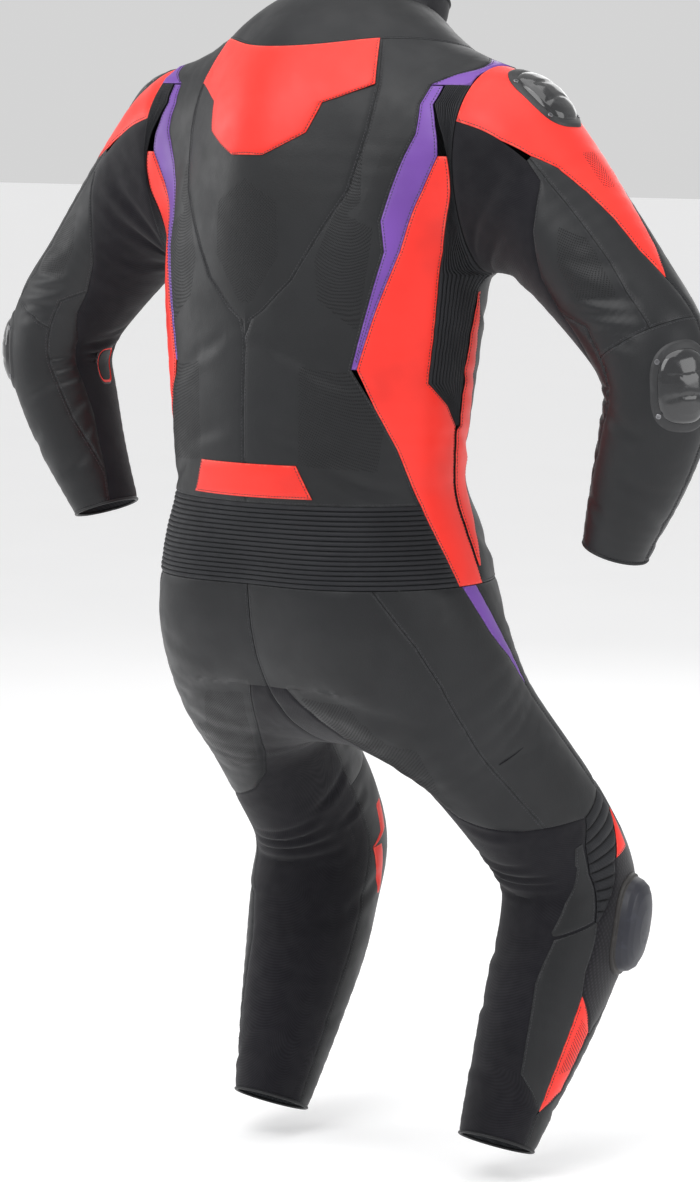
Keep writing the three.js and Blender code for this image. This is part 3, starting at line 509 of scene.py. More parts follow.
class Nodes:
    """A short way to build a material's nodes."""

    def __init__(self, name: str) -> None:
        """Starts an empty material with its shader and output."""
        self.material = bpy.data.materials.new(name)
        self.material.use_nodes = True
        self.tree = self.material.node_tree
        self.tree.nodes.clear()
        self.output = self.tree.nodes.new("ShaderNodeOutputMaterial")
        self.shader = self.tree.nodes.new("ShaderNodeBsdfPrincipled")
        self.link(self.shader.outputs["BSDF"], self.output.inputs["Surface"])
        self.place = self.tree.nodes.new("ShaderNodeTexCoord")

    def link(self, source: bpy.types.NodeSocket, target: bpy.types.NodeSocket) -> None:
        """Joins two sockets."""
        self.tree.links.new(source, target)

    def math(self, operation: str, first: object, second: object = None) -> bpy.types.NodeSocket:
        """A math node on sockets or numbers.

        Args:
            operation: The math node's operation.
            first: A socket or a number.
            second: A socket, a number or nothing.
        Returns:
            The result's socket.
        """
        made = self.tree.nodes.new("ShaderNodeMath")
        made.operation = operation
        for index, value in enumerate((first, second)):
            if isinstance(value, bpy.types.NodeSocket):
                self.link(value, made.inputs[index])
            elif value is not None:
                made.inputs[index].default_value = value
        return made.outputs[0]

    def noise(self, scale: float, detail: float = 3.0, rough: float = 0.55) -> bpy.types.NodeSocket:
        """Soft noise in object space."""
        made = self.tree.nodes.new("ShaderNodeTexNoise")
        made.inputs["Scale"].default_value = scale
        made.inputs["Detail"].default_value = detail
        made.inputs["Roughness"].default_value = rough
        self.link(self.place.outputs["Object"], made.inputs["Vector"])
        return made.outputs["Fac"]

    def cells(self, scale: float, feature: str = "F1") -> bpy.types.NodeSocket:
        """Distance to the nearest cell's middle, for grain."""
        made = self.tree.nodes.new("ShaderNodeTexVoronoi")
        made.feature = feature
        made.inputs["Scale"].default_value = scale
        self.link(self.place.outputs["Object"], made.inputs["Vector"])
        return made.outputs["Distance"]

    def attribute(self, name: str) -> bpy.types.NodeSocket:
        """A value that the mesh carries."""
        made = self.tree.nodes.new("ShaderNodeAttribute")
        made.attribute_name = name
        return made.outputs["Fac"]

    def spread(self, value: bpy.types.NodeSocket, low: float, high: float, to_low: float,
               to_high: float) -> bpy.types.NodeSocket:
        """A value taken smoothly from one range to another."""
        made = self.tree.nodes.new("ShaderNodeMapRange")
        made.interpolation_type = "SMOOTHSTEP"
        made.inputs["From Min"].default_value = low
        made.inputs["From Max"].default_value = high
        made.inputs["To Min"].default_value = to_low
        made.inputs["To Max"].default_value = to_high
        self.link(value, made.inputs["Value"])
        return made.outputs["Result"]

    def mix(self, factor: bpy.types.NodeSocket, first: object, second: object) -> bpy.types.NodeSocket:
        """A mix of two colours, each a socket or three numbers."""
        made = self.tree.nodes.new("ShaderNodeMix")
        made.data_type = "RGBA"
        self.link(factor, made.inputs["Factor"])
        for name, value in (("A", first), ("B", second)):
            socket = [s for s in made.inputs if s.name == name and s.type == "RGBA"][0]
            if isinstance(value, bpy.types.NodeSocket):
                self.link(value, socket)
            else:
                socket.default_value = (*value, 1.0)
        return [s for s in made.outputs if s.type == "RGBA"][0]

    def bump(self, height: bpy.types.NodeSocket, strength: float, distance: float,
             under: bpy.types.NodeSocket | None = None) -> bpy.types.NodeSocket:
        """A bump from a height, on top of another bump where one is given."""
        made = self.tree.nodes.new("ShaderNodeBump")
        made.inputs["Strength"].default_value = strength
        made.inputs["Distance"].default_value = distance
        self.link(height, made.inputs["Height"])
        if under is not None:
            self.link(under, made.inputs["Normal"])
        return made.outputs["Normal"]

    def holes(self, pitch: float, radius: float) -> bpy.types.NodeSocket:
        """One inside small round holes in staggered rows, in the mesh's flat metres."""
        turned = self.tree.nodes.new("ShaderNodeMapping")
        turned.inputs["Rotation"].default_value = (0, 0, math.radians(45))
        turned.inputs["Scale"].default_value = (1 / pitch, 1 / pitch, 1)
        self.link(self.place.outputs["UV"], turned.inputs["Vector"])
        part = self.tree.nodes.new("ShaderNodeVectorMath")
        part.operation = "FRACTION"
        self.link(turned.outputs[0], part.inputs[0])
        centred = self.tree.nodes.new("ShaderNodeVectorMath")
        centred.operation = "SUBTRACT"
        centred.inputs[1].default_value = (0.5, 0.5, 0)
        self.link(part.outputs[0], centred.inputs[0])
        length = self.tree.nodes.new("ShaderNodeVectorMath")
        length.operation = "LENGTH"
        self.link(centred.outputs[0], length.inputs[0])
        return self.spread(length.outputs["Value"], radius * 1.25, radius * 0.8, 0, 1)


@dataclass(frozen=True)
class LeatherFinish:
    """Grained leather with wear at its seams and perforated fields."""

    name: str
    base: tuple[float, float, float]
    worn: tuple[float, float, float]
    roughness: float = 0.46
    grain: float = 0.22
    coat: float = 0.04

    def make(self) -> bpy.types.Material:
        """The finish as a material."""
        n = Nodes(self.name)
        broad = n.noise(7, 3)
        fine = n.noise(210, 2)
        edge = n.attribute("seam_distance")
        field_inside = n.spread(n.attribute("perforated"), 0.0, 0.0008, 0, 1)
        hole = n.math("MULTIPLY", n.holes(0.0027, 0.26), field_inside)
        dark = tuple(c * 0.72 for c in self.base)
        colour = n.mix(n.spread(broad, 0.3, 0.7, 0, 1), dark, self.base)
        wear = n.math("MULTIPLY", n.spread(edge, 0.0026, 0.0008, 0, 0.55), n.spread(fine, 0.4, 0.65, 0, 1))
        colour = n.mix(wear, colour, self.worn)
        seam_shade = n.spread(edge, 0.0011, 0.0, 0, 0.6)
        colour = n.mix(seam_shade, colour, tuple(c * 0.35 for c in self.base))
        # Painted shade: the perforation holes are painted near-black, standing in for the shaded inside of
        # each hole.
        colour = n.mix(hole, colour, (0.003, 0.003, 0.004))
        n.link(colour, n.shader.inputs["Base Color"])
        patchy = n.spread(n.noise(26, 3), 0.3, 0.7, self.roughness - 0.06, self.roughness + 0.07)
        rough = n.math("ADD", patchy, n.math("MULTIPLY", hole, 0.3))
        n.link(rough, n.shader.inputs["Roughness"])
        n.shader.inputs["Coat Weight"].default_value = self.coat
        n.shader.inputs["Coat Roughness"].default_value = 0.35
        n.shader.inputs["Specular IOR Level"].default_value = 0.30
        normal = n.bump(n.cells(620), self.grain, 0.00035)
        normal = n.bump(n.noise(95, 4), 0.12, 0.0012, normal)
        normal = n.bump(n.math("SUBTRACT", 1.0, hole), 0.7, 0.0006, normal)
        n.link(normal, n.shader.inputs["Normal"])
        return n.material


@dataclass(frozen=True)
class ClothFinish:
    """Woven stretch cloth: a fine weave, soft sheen and a slight fuzz, with painted shade in the valleys of
    its ribs.
    """

    name: str
    base: tuple[float, float, float]
    light: tuple[float, float, float]
    weave: float = 900.0
    roughness: float = 0.86
    sheen: float = 0.12

    def make(self) -> bpy.types.Material:
        """The finish as a material."""
        n = Nodes(self.name)
        waves = []
        for turn in (0.6, -0.6):
            mapping = n.tree.nodes.new("ShaderNodeMapping")
            mapping.inputs["Rotation"].default_value = (0, 0, turn)
            n.link(n.place.outputs["UV"], mapping.inputs["Vector"])
            wave = n.tree.nodes.new("ShaderNodeTexWave")
            wave.inputs["Scale"].default_value = self.weave / 6.0
            wave.inputs["Distortion"].default_value = 0.4
            n.link(mapping.outputs[0], wave.inputs["Vector"])
            waves.append(wave.outputs["Fac"])
        weave = n.math("MULTIPLY", waves[0], waves[1])
        broad = n.noise(9, 3)
        colour = n.mix(weave, self.base, self.light)
        colour = n.mix(n.spread(broad, 0.35, 0.7, 0, 0.5), colour, tuple(c * 0.6 for c in self.base))
        # Painted shade: the valleys between the ribs, where rib_height is low, are painted near-black.
        rib_valley_shade = n.spread(n.attribute("rib_height"), 0.0, 0.75, 0.78, 0.0)
        colour = n.mix(rib_valley_shade, colour, (0.0015, 0.0015, 0.002))
        n.link(colour, n.shader.inputs["Base Color"])
        n.link(n.spread(n.noise(60), 0.3, 0.7, self.roughness - 0.08, self.roughness + 0.06),
               n.shader.inputs["Roughness"])
        n.shader.inputs["Sheen Weight"].default_value = self.sheen
        n.shader.inputs["Sheen Roughness"].default_value = 0.5
        n.shader.inputs["Specular IOR Level"].default_value = 0.2
        normal = n.bump(weave, 0.3, 0.0003)
        normal = n.bump(n.noise(140, 3), 0.15, 0.0006, normal)
        n.link(normal, n.shader.inputs["Normal"])
        return n.material


@dataclass(frozen=True)
class PlasticFinish:
    """Moulded plastic with light scuffs."""

    name: str
    base: tuple[float, float, float]
    roughness: float
    scuff: float = 0.08
    metallic: float = 0.0
    coat: float = 0.0

    def make(self) -> bpy.types.Material:
        """The finish as a material."""
        n = Nodes(self.name)
        scratch = n.spread(n.noise(90, 6, 0.7), 0.52, 0.66, 0, 1)
        scuffed = tuple(min(1.0, c * 2.2 + 0.01) for c in self.base)
        colour = n.mix(n.math("MULTIPLY", scratch, 0.35), self.base, scuffed)
        n.link(colour, n.shader.inputs["Base Color"])
        rough = n.math("ADD", n.math("MULTIPLY", scratch, self.scuff), self.roughness)
        n.link(rough, n.shader.inputs["Roughness"])
        n.shader.inputs["Metallic"].default_value = self.metallic
        n.shader.inputs["Coat Weight"].default_value = self.coat
        n.shader.inputs["Coat Roughness"].default_value = 0.12
        n.link(n.bump(n.noise(400, 3), 0.06, 0.0003), n.shader.inputs["Normal"])
        return n.material


FINISHES = {
    "black": LeatherFinish("black_leather", (0.0105, 0.0112, 0.0128), (0.032, 0.034, 0.038), 0.47),
    "red": LeatherFinish("red_leather", (0.930, 0.034, 0.022), (1.0, 0.13, 0.08), 0.42, 0.10, 0.06),
    "purple": LeatherFinish("purple_leather", (0.165, 0.062, 0.355), (0.25, 0.13, 0.45), 0.42, 0.14, 0.06),
    "stretch": ClothFinish("stretch_cloth", (0.0045, 0.0042, 0.0065), (0.014, 0.0135, 0.018)),
    "rib": ClothFinish("rib_cloth", (0.012, 0.0125, 0.015), (0.026, 0.027, 0.031), 900.0, 0.62, 0.05),
    "loop": ClothFinish("loop_cloth", (0.0045, 0.004, 0.006), (0.02, 0.019, 0.024), 420.0, 0.95, 0.3),
    "collar": ClothFinish("collar_cloth", (0.009, 0.009, 0.011), (0.022, 0.022, 0.026), 700.0, 0.75, 0.1),
    "lining": ClothFinish("lining_mesh", (0.030, 0.032, 0.036), (0.07, 0.073, 0.08), 500.0, 0.9, 0.15),
    "zip": ClothFinish("zip_tape", (0.008, 0.008, 0.009), (0.02, 0.02, 0.022), 700.0, 0.8, 0.05),
    "cup": PlasticFinish("cup_gloss", (0.010, 0.0105, 0.012), 0.14, 0.10, 0.0, 0.5),
    "cup_rim": PlasticFinish("cup_rim", (0.016, 0.0165, 0.018), 0.5),
    "slider": PlasticFinish("slider_puck", (0.013, 0.014, 0.022), 0.42, 0.15),
    "slider_base": PlasticFinish("slider_base", (0.022, 0.020, 0.019), 0.5),
    "screw": PlasticFinish("screw_steel", (0.20, 0.20, 0.21), 0.32, 0.1, 1.0),
    "thread": PlasticFinish("thread", (0.022, 0.022, 0.025), 0.6),
    "teeth": PlasticFinish("zip_teeth", (0.03, 0.03, 0.032), 0.35, 0.1, 0.4),
    "binding": LeatherFinish("edge_binding", (0.013, 0.0135, 0.015), (0.03, 0.03, 0.033), 0.5),
}


class Wardrobe:
    """Makes each finish once and hands it out."""

    made: dict[str, bpy.types.Material] = {}

    @classmethod
    def get(cls, name: str) -> bpy.types.Material:
        """The material of that name."""
        if name not in cls.made:
            cls.made[name] = FINISHES[name].make()
        return cls.made[name]


def mesh_object(name: str, points: Array, faces: Array, finishes: Sequence[str],
                slots: Array | None = None, uv: Array | None = None,
                values: dict[str, Array] | None = None, sharp: float = 50.0) -> bpy.types.Object:
    """A mesh object from arrays.

    Args:
        name: The piece's name.
        points: Its points in millimetres, one a row.
        faces: Its four-cornered faces, as rows of point numbers.
        finishes: The names of its finishes.
        slots: Which finish each face has.
        uv: Flat metres of each point.
        values: Named values of each point.
        sharp: Edges sharper than this many degrees stay sharp.
    Returns:
        The object, in metres, riding on the suit.
    """
    mesh = bpy.data.meshes.new(name)
    mesh.vertices.add(len(points))
    mesh.vertices.foreach_set("co", (points * MM).astype(np.float32).ravel())
    mesh.loops.add(faces.size)
    mesh.loops.foreach_set("vertex_index", faces.astype(np.int32).ravel())
    mesh.polygons.add(len(faces))
    mesh.polygons.foreach_set("loop_start", np.arange(0, faces.size, 4, dtype=np.int32))
    for finish in finishes:
        mesh.materials.append(Wardrobe.get(finish))
    if slots is not None:
        mesh.polygons.foreach_set("material_index", slots.astype(np.int32))
    mesh.update(calc_edges=True)
    if uv is not None:
        layer = mesh.uv_layers.new(name="flat")
        layer.data.foreach_set("uv", uv[faces.ravel()].astype(np.float32).ravel())
    carried = {"seam_distance": 0.01, "perforated": -0.01, "rib_height": 1.0, **(values or {})}
    for key, value in carried.items():
        made = mesh.attributes.new(key, "FLOAT", "POINT")
        made.data.foreach_set("value", np.broadcast_to(value, len(points)).astype(np.float32))
    mesh.validate()
    mesh.shade_smooth()
    mesh.set_sharp_from_angle(angle=math.radians(sharp))
    made_object = bpy.data.objects.new(name, mesh)
    bpy.context.scene.collection.objects.link(made_object)
    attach(made_object, "root")
    return made_object


def inside_distance(u: Array, v: Array, corners: Sequence[tuple[float, float]], scale: float) -> Array:
    """How deep places lie inside an outline, negative outside.

    Args:
        u: Degrees round the tube.
        v: Millimetres along it.
        corners: The outline's corners.
        scale: Millimetres a degree.
    Returns:
        Millimetres from the outline.
    """
    x = u * scale
    inside = np.zeros(u.shape, bool)
    nearest = np.full(u.shape, 1e9)
    count = len(corners)
    for k in range(count):
        x0, y0 = corners[k][0] * scale, corners[k][1]
        x1, y1 = corners[(k + 1) % count][0] * scale, corners[(k + 1) % count][1]
        crosses = (y0 > v) != (y1 > v)
        with np.errstate(divide="ignore", invalid="ignore"):
            at = (x1 - x0) * (v - y0) / (y1 - y0) + x0
        inside ^= crosses & (x < at)
        t = np.clip(((x - x0) * (x1 - x0) + (v - y0) * (y1 - y0)) / ((x1 - x0) ** 2 + (y1 - y0) ** 2), 0, 1)
        nearest = np.minimum(nearest, np.hypot(x - x0 - t * (x1 - x0), v - y0 - t * (y1 - y0)))
    return np.where(inside, nearest, -nearest)


class Ribs(Enum):
    """Which way a panel's accordion ribs run."""

    NONE = "none"
    LEVEL = "level"
    UPRIGHT = "upright"


WOBBLE = np.random.default_rng(11)
WOBBLE_WAYS = unit(WOBBLE.normal(size=(7, 3))) * WOBBLE.uniform(0.018, 0.05, (7, 1))
WOBBLE_PHASE = WOBBLE.uniform(0, 6.28, 7)


def uneven(points: Array) -> Array:
    """A slow, slight unevenness of the cloth, in millimetres."""
    return 0.22 * np.sin(points @ WOBBLE_WAYS.T + WOBBLE_PHASE).sum(axis=-1)


class Stitching:
    """Short raised stitches along runs, gathered into one piece."""

    def __init__(self, name: str, pitch: float = 3.7, length: float = 2.5) -> None:
        """Starts an empty set of stitches."""
        self.name = name
        self.pitch = pitch
        self.length = length
        self.blocks: list[Array] = []

    def run(self, path: Array, normals: Array) -> None:
        """Adds a run of stitches.

        Args:
            path: The run's points.
            normals: The outward direction at each.
        """
        if len(path) < 2:
            return
        along = np.concatenate([[0], np.cumsum(np.linalg.norm(np.diff(path, axis=0), axis=1))])
        if along[-1] < 3 * self.pitch:
            return
        middles = np.arange(self.pitch, along[-1] - self.pitch, self.pitch)
        at = np.stack([np.interp(middles, along, path[:, k]) for k in range(3)], axis=1)
        ahead = np.stack([np.interp(middles + 1, along, path[:, k]) for k in range(3)], axis=1)
        up = unit(np.stack([np.interp(middles, along, normals[:, k]) for k in range(3)], axis=1))
        forward = unit(ahead - at)
        aside = np.cross(forward, up)
        half = self.length / 2
        corners = []
        for reach, wide, low, high in ((-half, 0.20, -0.15, 0.05), (-half * 0.5, 0.36, -0.15, 0.42),
                                       (half * 0.5, 0.36, -0.15, 0.42), (half, 0.20, -0.15, 0.05)):
            for sign, rise in ((-1, low), (-1, high), (1, high), (1, low)):
                corners.append(at + forward * reach + aside * sign * wide + up * rise)
        self.blocks.append(np.stack(corners, axis=1))

    def build(self) -> bpy.types.Object:
        """The stitches as one piece."""
        blocks = np.concatenate(self.blocks)
        faces = [(3, 2, 1, 0), (12, 13, 14, 15)]
        for ring in range(3):
            for k in range(4):
                a = ring * 4 + k
                b = ring * 4 + (k + 1) % 4
                faces.append((a, b, b + 4, a + 4))
        pattern = np.array(faces)
        every = (pattern[None] + (np.arange(len(blocks)) * 16)[:, None, None]).reshape(-1, 4)
        made = mesh_object(self.name, blocks.reshape(-1, 3), every, ["thread"], sharp=80)
        LOG.info("%s: %d stitches", self.name, len(blocks))
        return made


@dataclass
class Panel:
    """One cut panel of the suit, as a thin shell on its tube."""

    name: str
    tube: Tube
    start: float
    end: float
    left: Edge
    right: Edge
    finish: str = "black"
    wall: float = LEATHER_WALL
    lift: float = 0.0
    ribs: Ribs = Ribs.NONE
    rib_count: int = 0
    rib_height: float = 2.6
    marks: Sequence[float] = ()
    perforated: Sequence[Sequence[tuple[float, float]]] = ()
    stitched: str = "lr"
    node: bool = True
    pair: bool = True
    step: float = CLOTH_STEP
    crown: float = 1.1
    slot: str | None = None
    grids: dict[str, Array] = field(default_factory=dict)

    def heights(self) -> Array:
        """The heights of the panel's rows, with one at every corner of its seams."""
        if self.ribs is Ribs.LEVEL:
            return np.linspace(self.start, self.end, self.rib_count * RIB_SAMPLES + 1)
        within = {v for v in self.marks if self.start + 1 < v < self.end - 1}
        stops = sorted(within | {self.start, self.end})
        out = [stops[0]]
        for stop in stops[1:]:
            parts = max(1, math.ceil((stop - out[-1]) / self.step))
            out.extend(np.linspace(out[-1], stop, parts + 1)[1:])
        return np.array(out)

    def lay_out(self) -> None:
        """Finds the panel's grid of places, points and outward directions, once for both sides."""
        v = self.heights()
        left = self.left(v)
        right = self.right(v)
        gap = SEAM_HALF_GAP / self.tube.mm_per_degree
        width = float(np.max(right - left)) * self.tube.mm_per_degree
        count = max(3, round(width / self.step))
        if self.ribs is Ribs.UPRIGHT:
            count = self.rib_count * RIB_SAMPLES
        share = np.linspace(0, 1, count + 1)
        u = (left + gap)[:, None] + (right - left - 2 * gap)[:, None] * share
        rows = v.copy()
        rows[0] += SEAM_HALF_GAP
        rows[-1] -= SEAM_HALF_GAP
        vv = np.repeat(rows[:, None], count + 1, axis=1)
        points = self.tube.surface(u.ravel(), vv.ravel())
        shape = (*u.shape, 3)
        self.grids = {"u": u, "v": vv, "p": points.reshape(shape),
                      "n": FIGURE.normals(points).reshape(shape), "share": share}

    def seam_distances(self) -> tuple[Array, Array, Array]:
        """Each point's distance from the panel's edge, and its flat place in millimetres."""
        p = self.grids["p"]
        zero_column = np.zeros((p.shape[0], 1))
        zero_row = np.zeros((1, p.shape[1]))
        steps_across = np.linalg.norm(np.diff(p, axis=1), axis=2)
        steps_down = np.linalg.norm(np.diff(p, axis=0), axis=2)
        across = np.concatenate([zero_column, np.cumsum(steps_across, axis=1)], axis=1)
        down = np.concatenate([zero_row, np.cumsum(steps_down, axis=0)], axis=0)
        sides = np.minimum(across, across[:, -1:] - across)
        ends = np.minimum(down, down[-1:] - down)
        return np.minimum(sides, ends), across - across[:, -1:] / 2, down

    def relief(self, edge: Array, side: int) -> tuple[Array, Array, Array]:
        """The heights of the cloth's form.

        Args:
            edge: Each point's distance from the edge.
            side: 1 on the wearer's left, -1 on the right.
        Returns:
            What moves the whole cloth, what is added to its outer face, and the rib's height share.
        """
        g = self.grids
        points = g["p"] * (side, 1, 1)
        whole = self.tube.crease_height(g["u"], g["v"], side) + uneven(points)
        rib = np.ones(edge.shape)
        if self.ribs is Ribs.NONE:
            outer = self.crown * (1 - np.exp(-edge / 14)) - 0.85 * np.exp(-(edge / 2.4) ** 2)
        else:
            if self.ribs is Ribs.UPRIGHT:
                turn = np.repeat((g["share"] * self.rib_count)[None], edge.shape[0], axis=0)
            else:
                turn = (g["v"] - self.start) / (self.end - self.start) * self.rib_count
            rib = np.sqrt(np.abs(np.sin(np.pi * turn)))
            outer = self.rib_height * rib * np.minimum(edge / 5 + 0.25, 1) - 0.6
            whole = whole * 0.4
        return whole, outer, rib

    def build(self, side: int, stitches: Stitching) -> bpy.types.Object:
        """Makes the panel on one side and sews its edges.

        Args:
            side: 1 on the wearer's left or the middle, -1 on the right.
            stitches: Where its stitches go.
        Returns:
            The panel's shell.
        """
        if not self.grids:
            self.lay_out()
        g = self.grids
        edge, flat_x, flat_y = self.seam_distances()
        whole, top, rib = self.relief(edge, side)
        normal = g["n"]
        base = g["p"] + normal * whole[..., None]
        if self.lift > 0:
            inner = base + normal * self.lift
            outer = inner + normal * (self.wall + np.minimum(top, 0.6))[..., None]
        else:
            outer = base + normal * top[..., None]
            inner = base - normal * self.wall
        mirror = np.array([side, 1.0, 1.0])
        outer = outer * mirror
        inner = inner * mirror
        rows, columns = edge.shape
        number = np.arange(rows * columns).reshape(rows, columns)
        under = number + rows * columns
        a, b, c, d = number[:-1, :-1], number[:-1, 1:], number[1:, 1:], number[1:, :-1]
        e, f, h, i = under[:-1, :-1], under[:-1, 1:], under[1:, 1:], under[1:, :-1]
        parts = [np.stack(corners, axis=-1).reshape(-1, 4) for corners in ((a, b, c, d), (i, h, f, e))]
        parts.append(np.stack([number[1:, 0], under[1:, 0], under[:-1, 0], number[:-1, 0]], axis=-1))
        parts.append(np.stack([number[:-1, -1], under[:-1, -1], under[1:, -1], number[1:, -1]], axis=-1))
        parts.append(np.stack([number[0, :-1], under[0, :-1], under[0, 1:], number[0, 1:]], axis=-1))
        parts.append(np.stack([number[-1, 1:], under[-1, 1:], under[-1, :-1], number[-1, :-1]], axis=-1))
        slots = np.concatenate([np.full(len(part), 1 if k == 1 else 0) for k, part in enumerate(parts)])
        faces = np.concatenate(parts)
        if side < 0:
            faces = faces[:, ::-1]
        depth = np.full(edge.shape, -1.0)
        for corners in self.perforated:
            depth = np.maximum(depth, inside_distance(g["u"], g["v"], corners, self.tube.mm_per_degree))
        uv = np.stack([flat_x.ravel(), flat_y.ravel()], axis=1) * MM
        twice = {"seam_distance": edge * MM, "perforated": depth * MM, "rib_height": rib}
        values = {key: np.concatenate([value.ravel(), value.ravel()]) for key, value in twice.items()}
        name = self.name if not self.pair else f"{self.name}_{'left' if side > 0 else 'right'}"
        points = np.concatenate([outer.reshape(-1, 3), inner.reshape(-1, 3)])
        made = mesh_object(f"cloth_{name}", points, faces, [self.finish, "lining"], slots,
                           np.concatenate([uv, uv]), values)
        self.declare(name)
        self.sew(stitches, outer, normal * mirror)
        return made

    def declare(self, name: str) -> None:
        """Hides the CAD part of that name when the panel stands for one."""

        if self.node:
            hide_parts(name)
        self.slot or SLOTS.get(self.finish, "stretch")

    def sew(self, stitches: Stitching, outer: Array, normal: Array) -> None:
        """Adds stitch runs beside the panel's chosen edges."""
        offset = STITCH_INSET
        for letter in self.stitched:
            if letter in "lr":
                grid, ups = outer, normal
            else:
                grid, ups = outer.transpose(1, 0, 2), normal.transpose(1, 0, 2)
            if letter in "rb":
                grid, ups = grid[:, ::-1], ups[:, ::-1]
            path = []
            directions = []
            for row, up in zip(grid, ups):
                along = np.concatenate([[0], np.cumsum(np.linalg.norm(np.diff(row, axis=0), axis=1))])
                if along[-1] < 2.4 * offset:
                    continue
                path.append([np.interp(offset, along, row[:, k]) for k in range(3)])
                directions.append([np.interp(offset, along, up[:, k]) for k in range(3)])
            if path:
                stitches.run(np.array(path), np.array(directions))


@dataclass(frozen=True)
class Dome:
    """A hard guard's outline on its tube and its heights from the middle to the rim."""

    name: str
    tube: Tube
    middle_u: float
    middle_v: float
    half_u: float
    half_v: float
    shares: tuple[float, ...]
    heights: tuple[float, ...]
    finishes: tuple[str, ...]
    finish_ends: tuple[float, ...]
    squareness: float = 2.6
    screws: tuple[float, ...] = ()
    grooves: tuple[float, ...] = ()
    turn: float = 0.0
    node: bool = True

    def place(self, angle: Array, share: Array) -> tuple[Array, Array]:
        """The (u, v) of a place in the outline."""
        x = np.sign(np.cos(angle)) * np.abs(np.cos(angle)) ** (2 / self.squareness)
        y = np.sign(np.sin(angle)) * np.abs(np.sin(angle)) ** (2 / self.squareness)
        lean = math.radians(self.turn)
        across = x * math.cos(lean) - y * math.sin(lean)
        down = x * math.sin(lean) + y * math.cos(lean)
        return self.middle_u + self.half_u * share * across, self.middle_v + self.half_v * share * down

    def build(self, side: int) -> bpy.types.Object:
        """Makes the guard on one side, with its screws.

        Args:
            side: 1 on the wearer's left, -1 on the right.
        Returns:
            The guard.
        """
        around = 64
        fine = np.unique(np.concatenate([np.linspace(0.03, 1, 22), np.array(self.shares)[1:]]))
        angle = np.linspace(0, 2 * np.pi, around, endpoint=False)
        aa, rr = np.meshgrid(angle, fine)
        u, v = self.place(aa.ravel(), rr.ravel())
        points = self.tube.surface(u, v)
        normal = FIGURE.normals(points)
        height = np.interp(rr.ravel(), self.shares, self.heights)
        across = rr.ravel() * np.sin(aa.ravel())
        for groove in self.grooves:
            inside = np.clip((0.72 - rr.ravel()) / 0.12, 0, 1)
            height -= 1.1 * np.exp(-((across - groove) / 0.05) ** 2) * inside
        outer = points + normal * height[:, None]
        foot = points + normal * 0.5
        rings = len(fine)
        count = rings * around
        number = np.arange(count).reshape(rings, around)
        under = number + count
        after = np.roll(number, -1, axis=1)
        under_after = np.roll(under, -1, axis=1)
        top = np.stack([number[:-1], number[1:], after[1:], after[:-1]], axis=-1).reshape(-1, 4)
        bottom = np.stack([under[:-1], under_after[:-1], under_after[1:], under[1:]], axis=-1).reshape(-1, 4)
        rim = np.stack([number[-1], under[-1], under_after[-1], after[-1]], axis=-1)
        hub = np.array([2 * count, 2 * count + 1])
        caps = []
        for k in range(0, around, 2):
            caps.append((hub[0], number[0, k], number[0, (k + 1) % around], number[0, (k + 2) % around]))
            caps.append((hub[1], under[0, (k + 2) % around], under[0, (k + 1) % around], under[0, k]))
        faces = np.concatenate([top, bottom, rim, np.array(caps)])
        middle = np.stack([outer[:around].mean(axis=0), foot[:around].mean(axis=0)])
        every = np.concatenate([outer, foot, middle]) * (side, 1, 1)
        ring_slot = np.searchsorted(self.finish_ends, (fine[:-1] + fine[1:]) / 2)
        hidden = np.full(len(bottom) + len(rim), len(self.finishes) - 1)
        slots = np.concatenate([np.repeat(ring_slot, around), hidden, np.zeros(len(caps))])
        if side < 0:
            faces = faces[:, ::-1]
        name = f"{self.name}_{'left' if side > 0 else 'right'}"
        made = mesh_object(f"guard_{name}", every, faces, self.finishes, slots, sharp=38)
        if self.node:
            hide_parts(name)
        SLOTS.get(self.finishes[0], "black_leather")
        self.add_screws(side, name)
        LOG.info("%s: %.0f mm high", name, max(self.heights))
        return made

    def add_screws(self, side: int, name: str) -> None:
        """Small countersunk screws on the rim."""
        if not self.screws:
            return
        share = 0.885
        profile = [(3.0, 0.0), (3.0, 0.7), (2.6, 1.1), (1.5, 1.1), (1.3, 0.3), (0.2, 0.3)]
        around = 18
        points = []
        faces = []
        for angle in self.screws:
            u, v = self.place(np.array([math.radians(angle)]), np.array([share]))
            foot = self.tube.surface(u, v)
            up = FIGURE.normals(foot)[0]
            first = unit(np.cross(up, (0.3, 0.8, 0.5)))
            second = np.cross(up, first)
            foot = foot[0] + up * (float(np.interp(share, self.shares, self.heights)) - 0.2)
            start = len(points)
            for radius, height in profile:
                for k in range(around):
                    turn = 2 * math.pi * k / around
                    way = first * math.cos(turn) + second * math.sin(turn)
                    points.append(foot + radius * way + up * height)
            for ring in range(len(profile) - 1):
                for k in range(around):
                    a = start + ring * around + k
                    b = start + ring * around + (k + 1) % around
                    faces.append((a, b, b + around, a + around))
        corners = np.array(faces)
        if side < 0:
            corners = corners[:, ::-1]
        made = mesh_object(f"screws_{name}", np.array(points) * (side, 1, 1), corners, ["screw"], sharp=40)


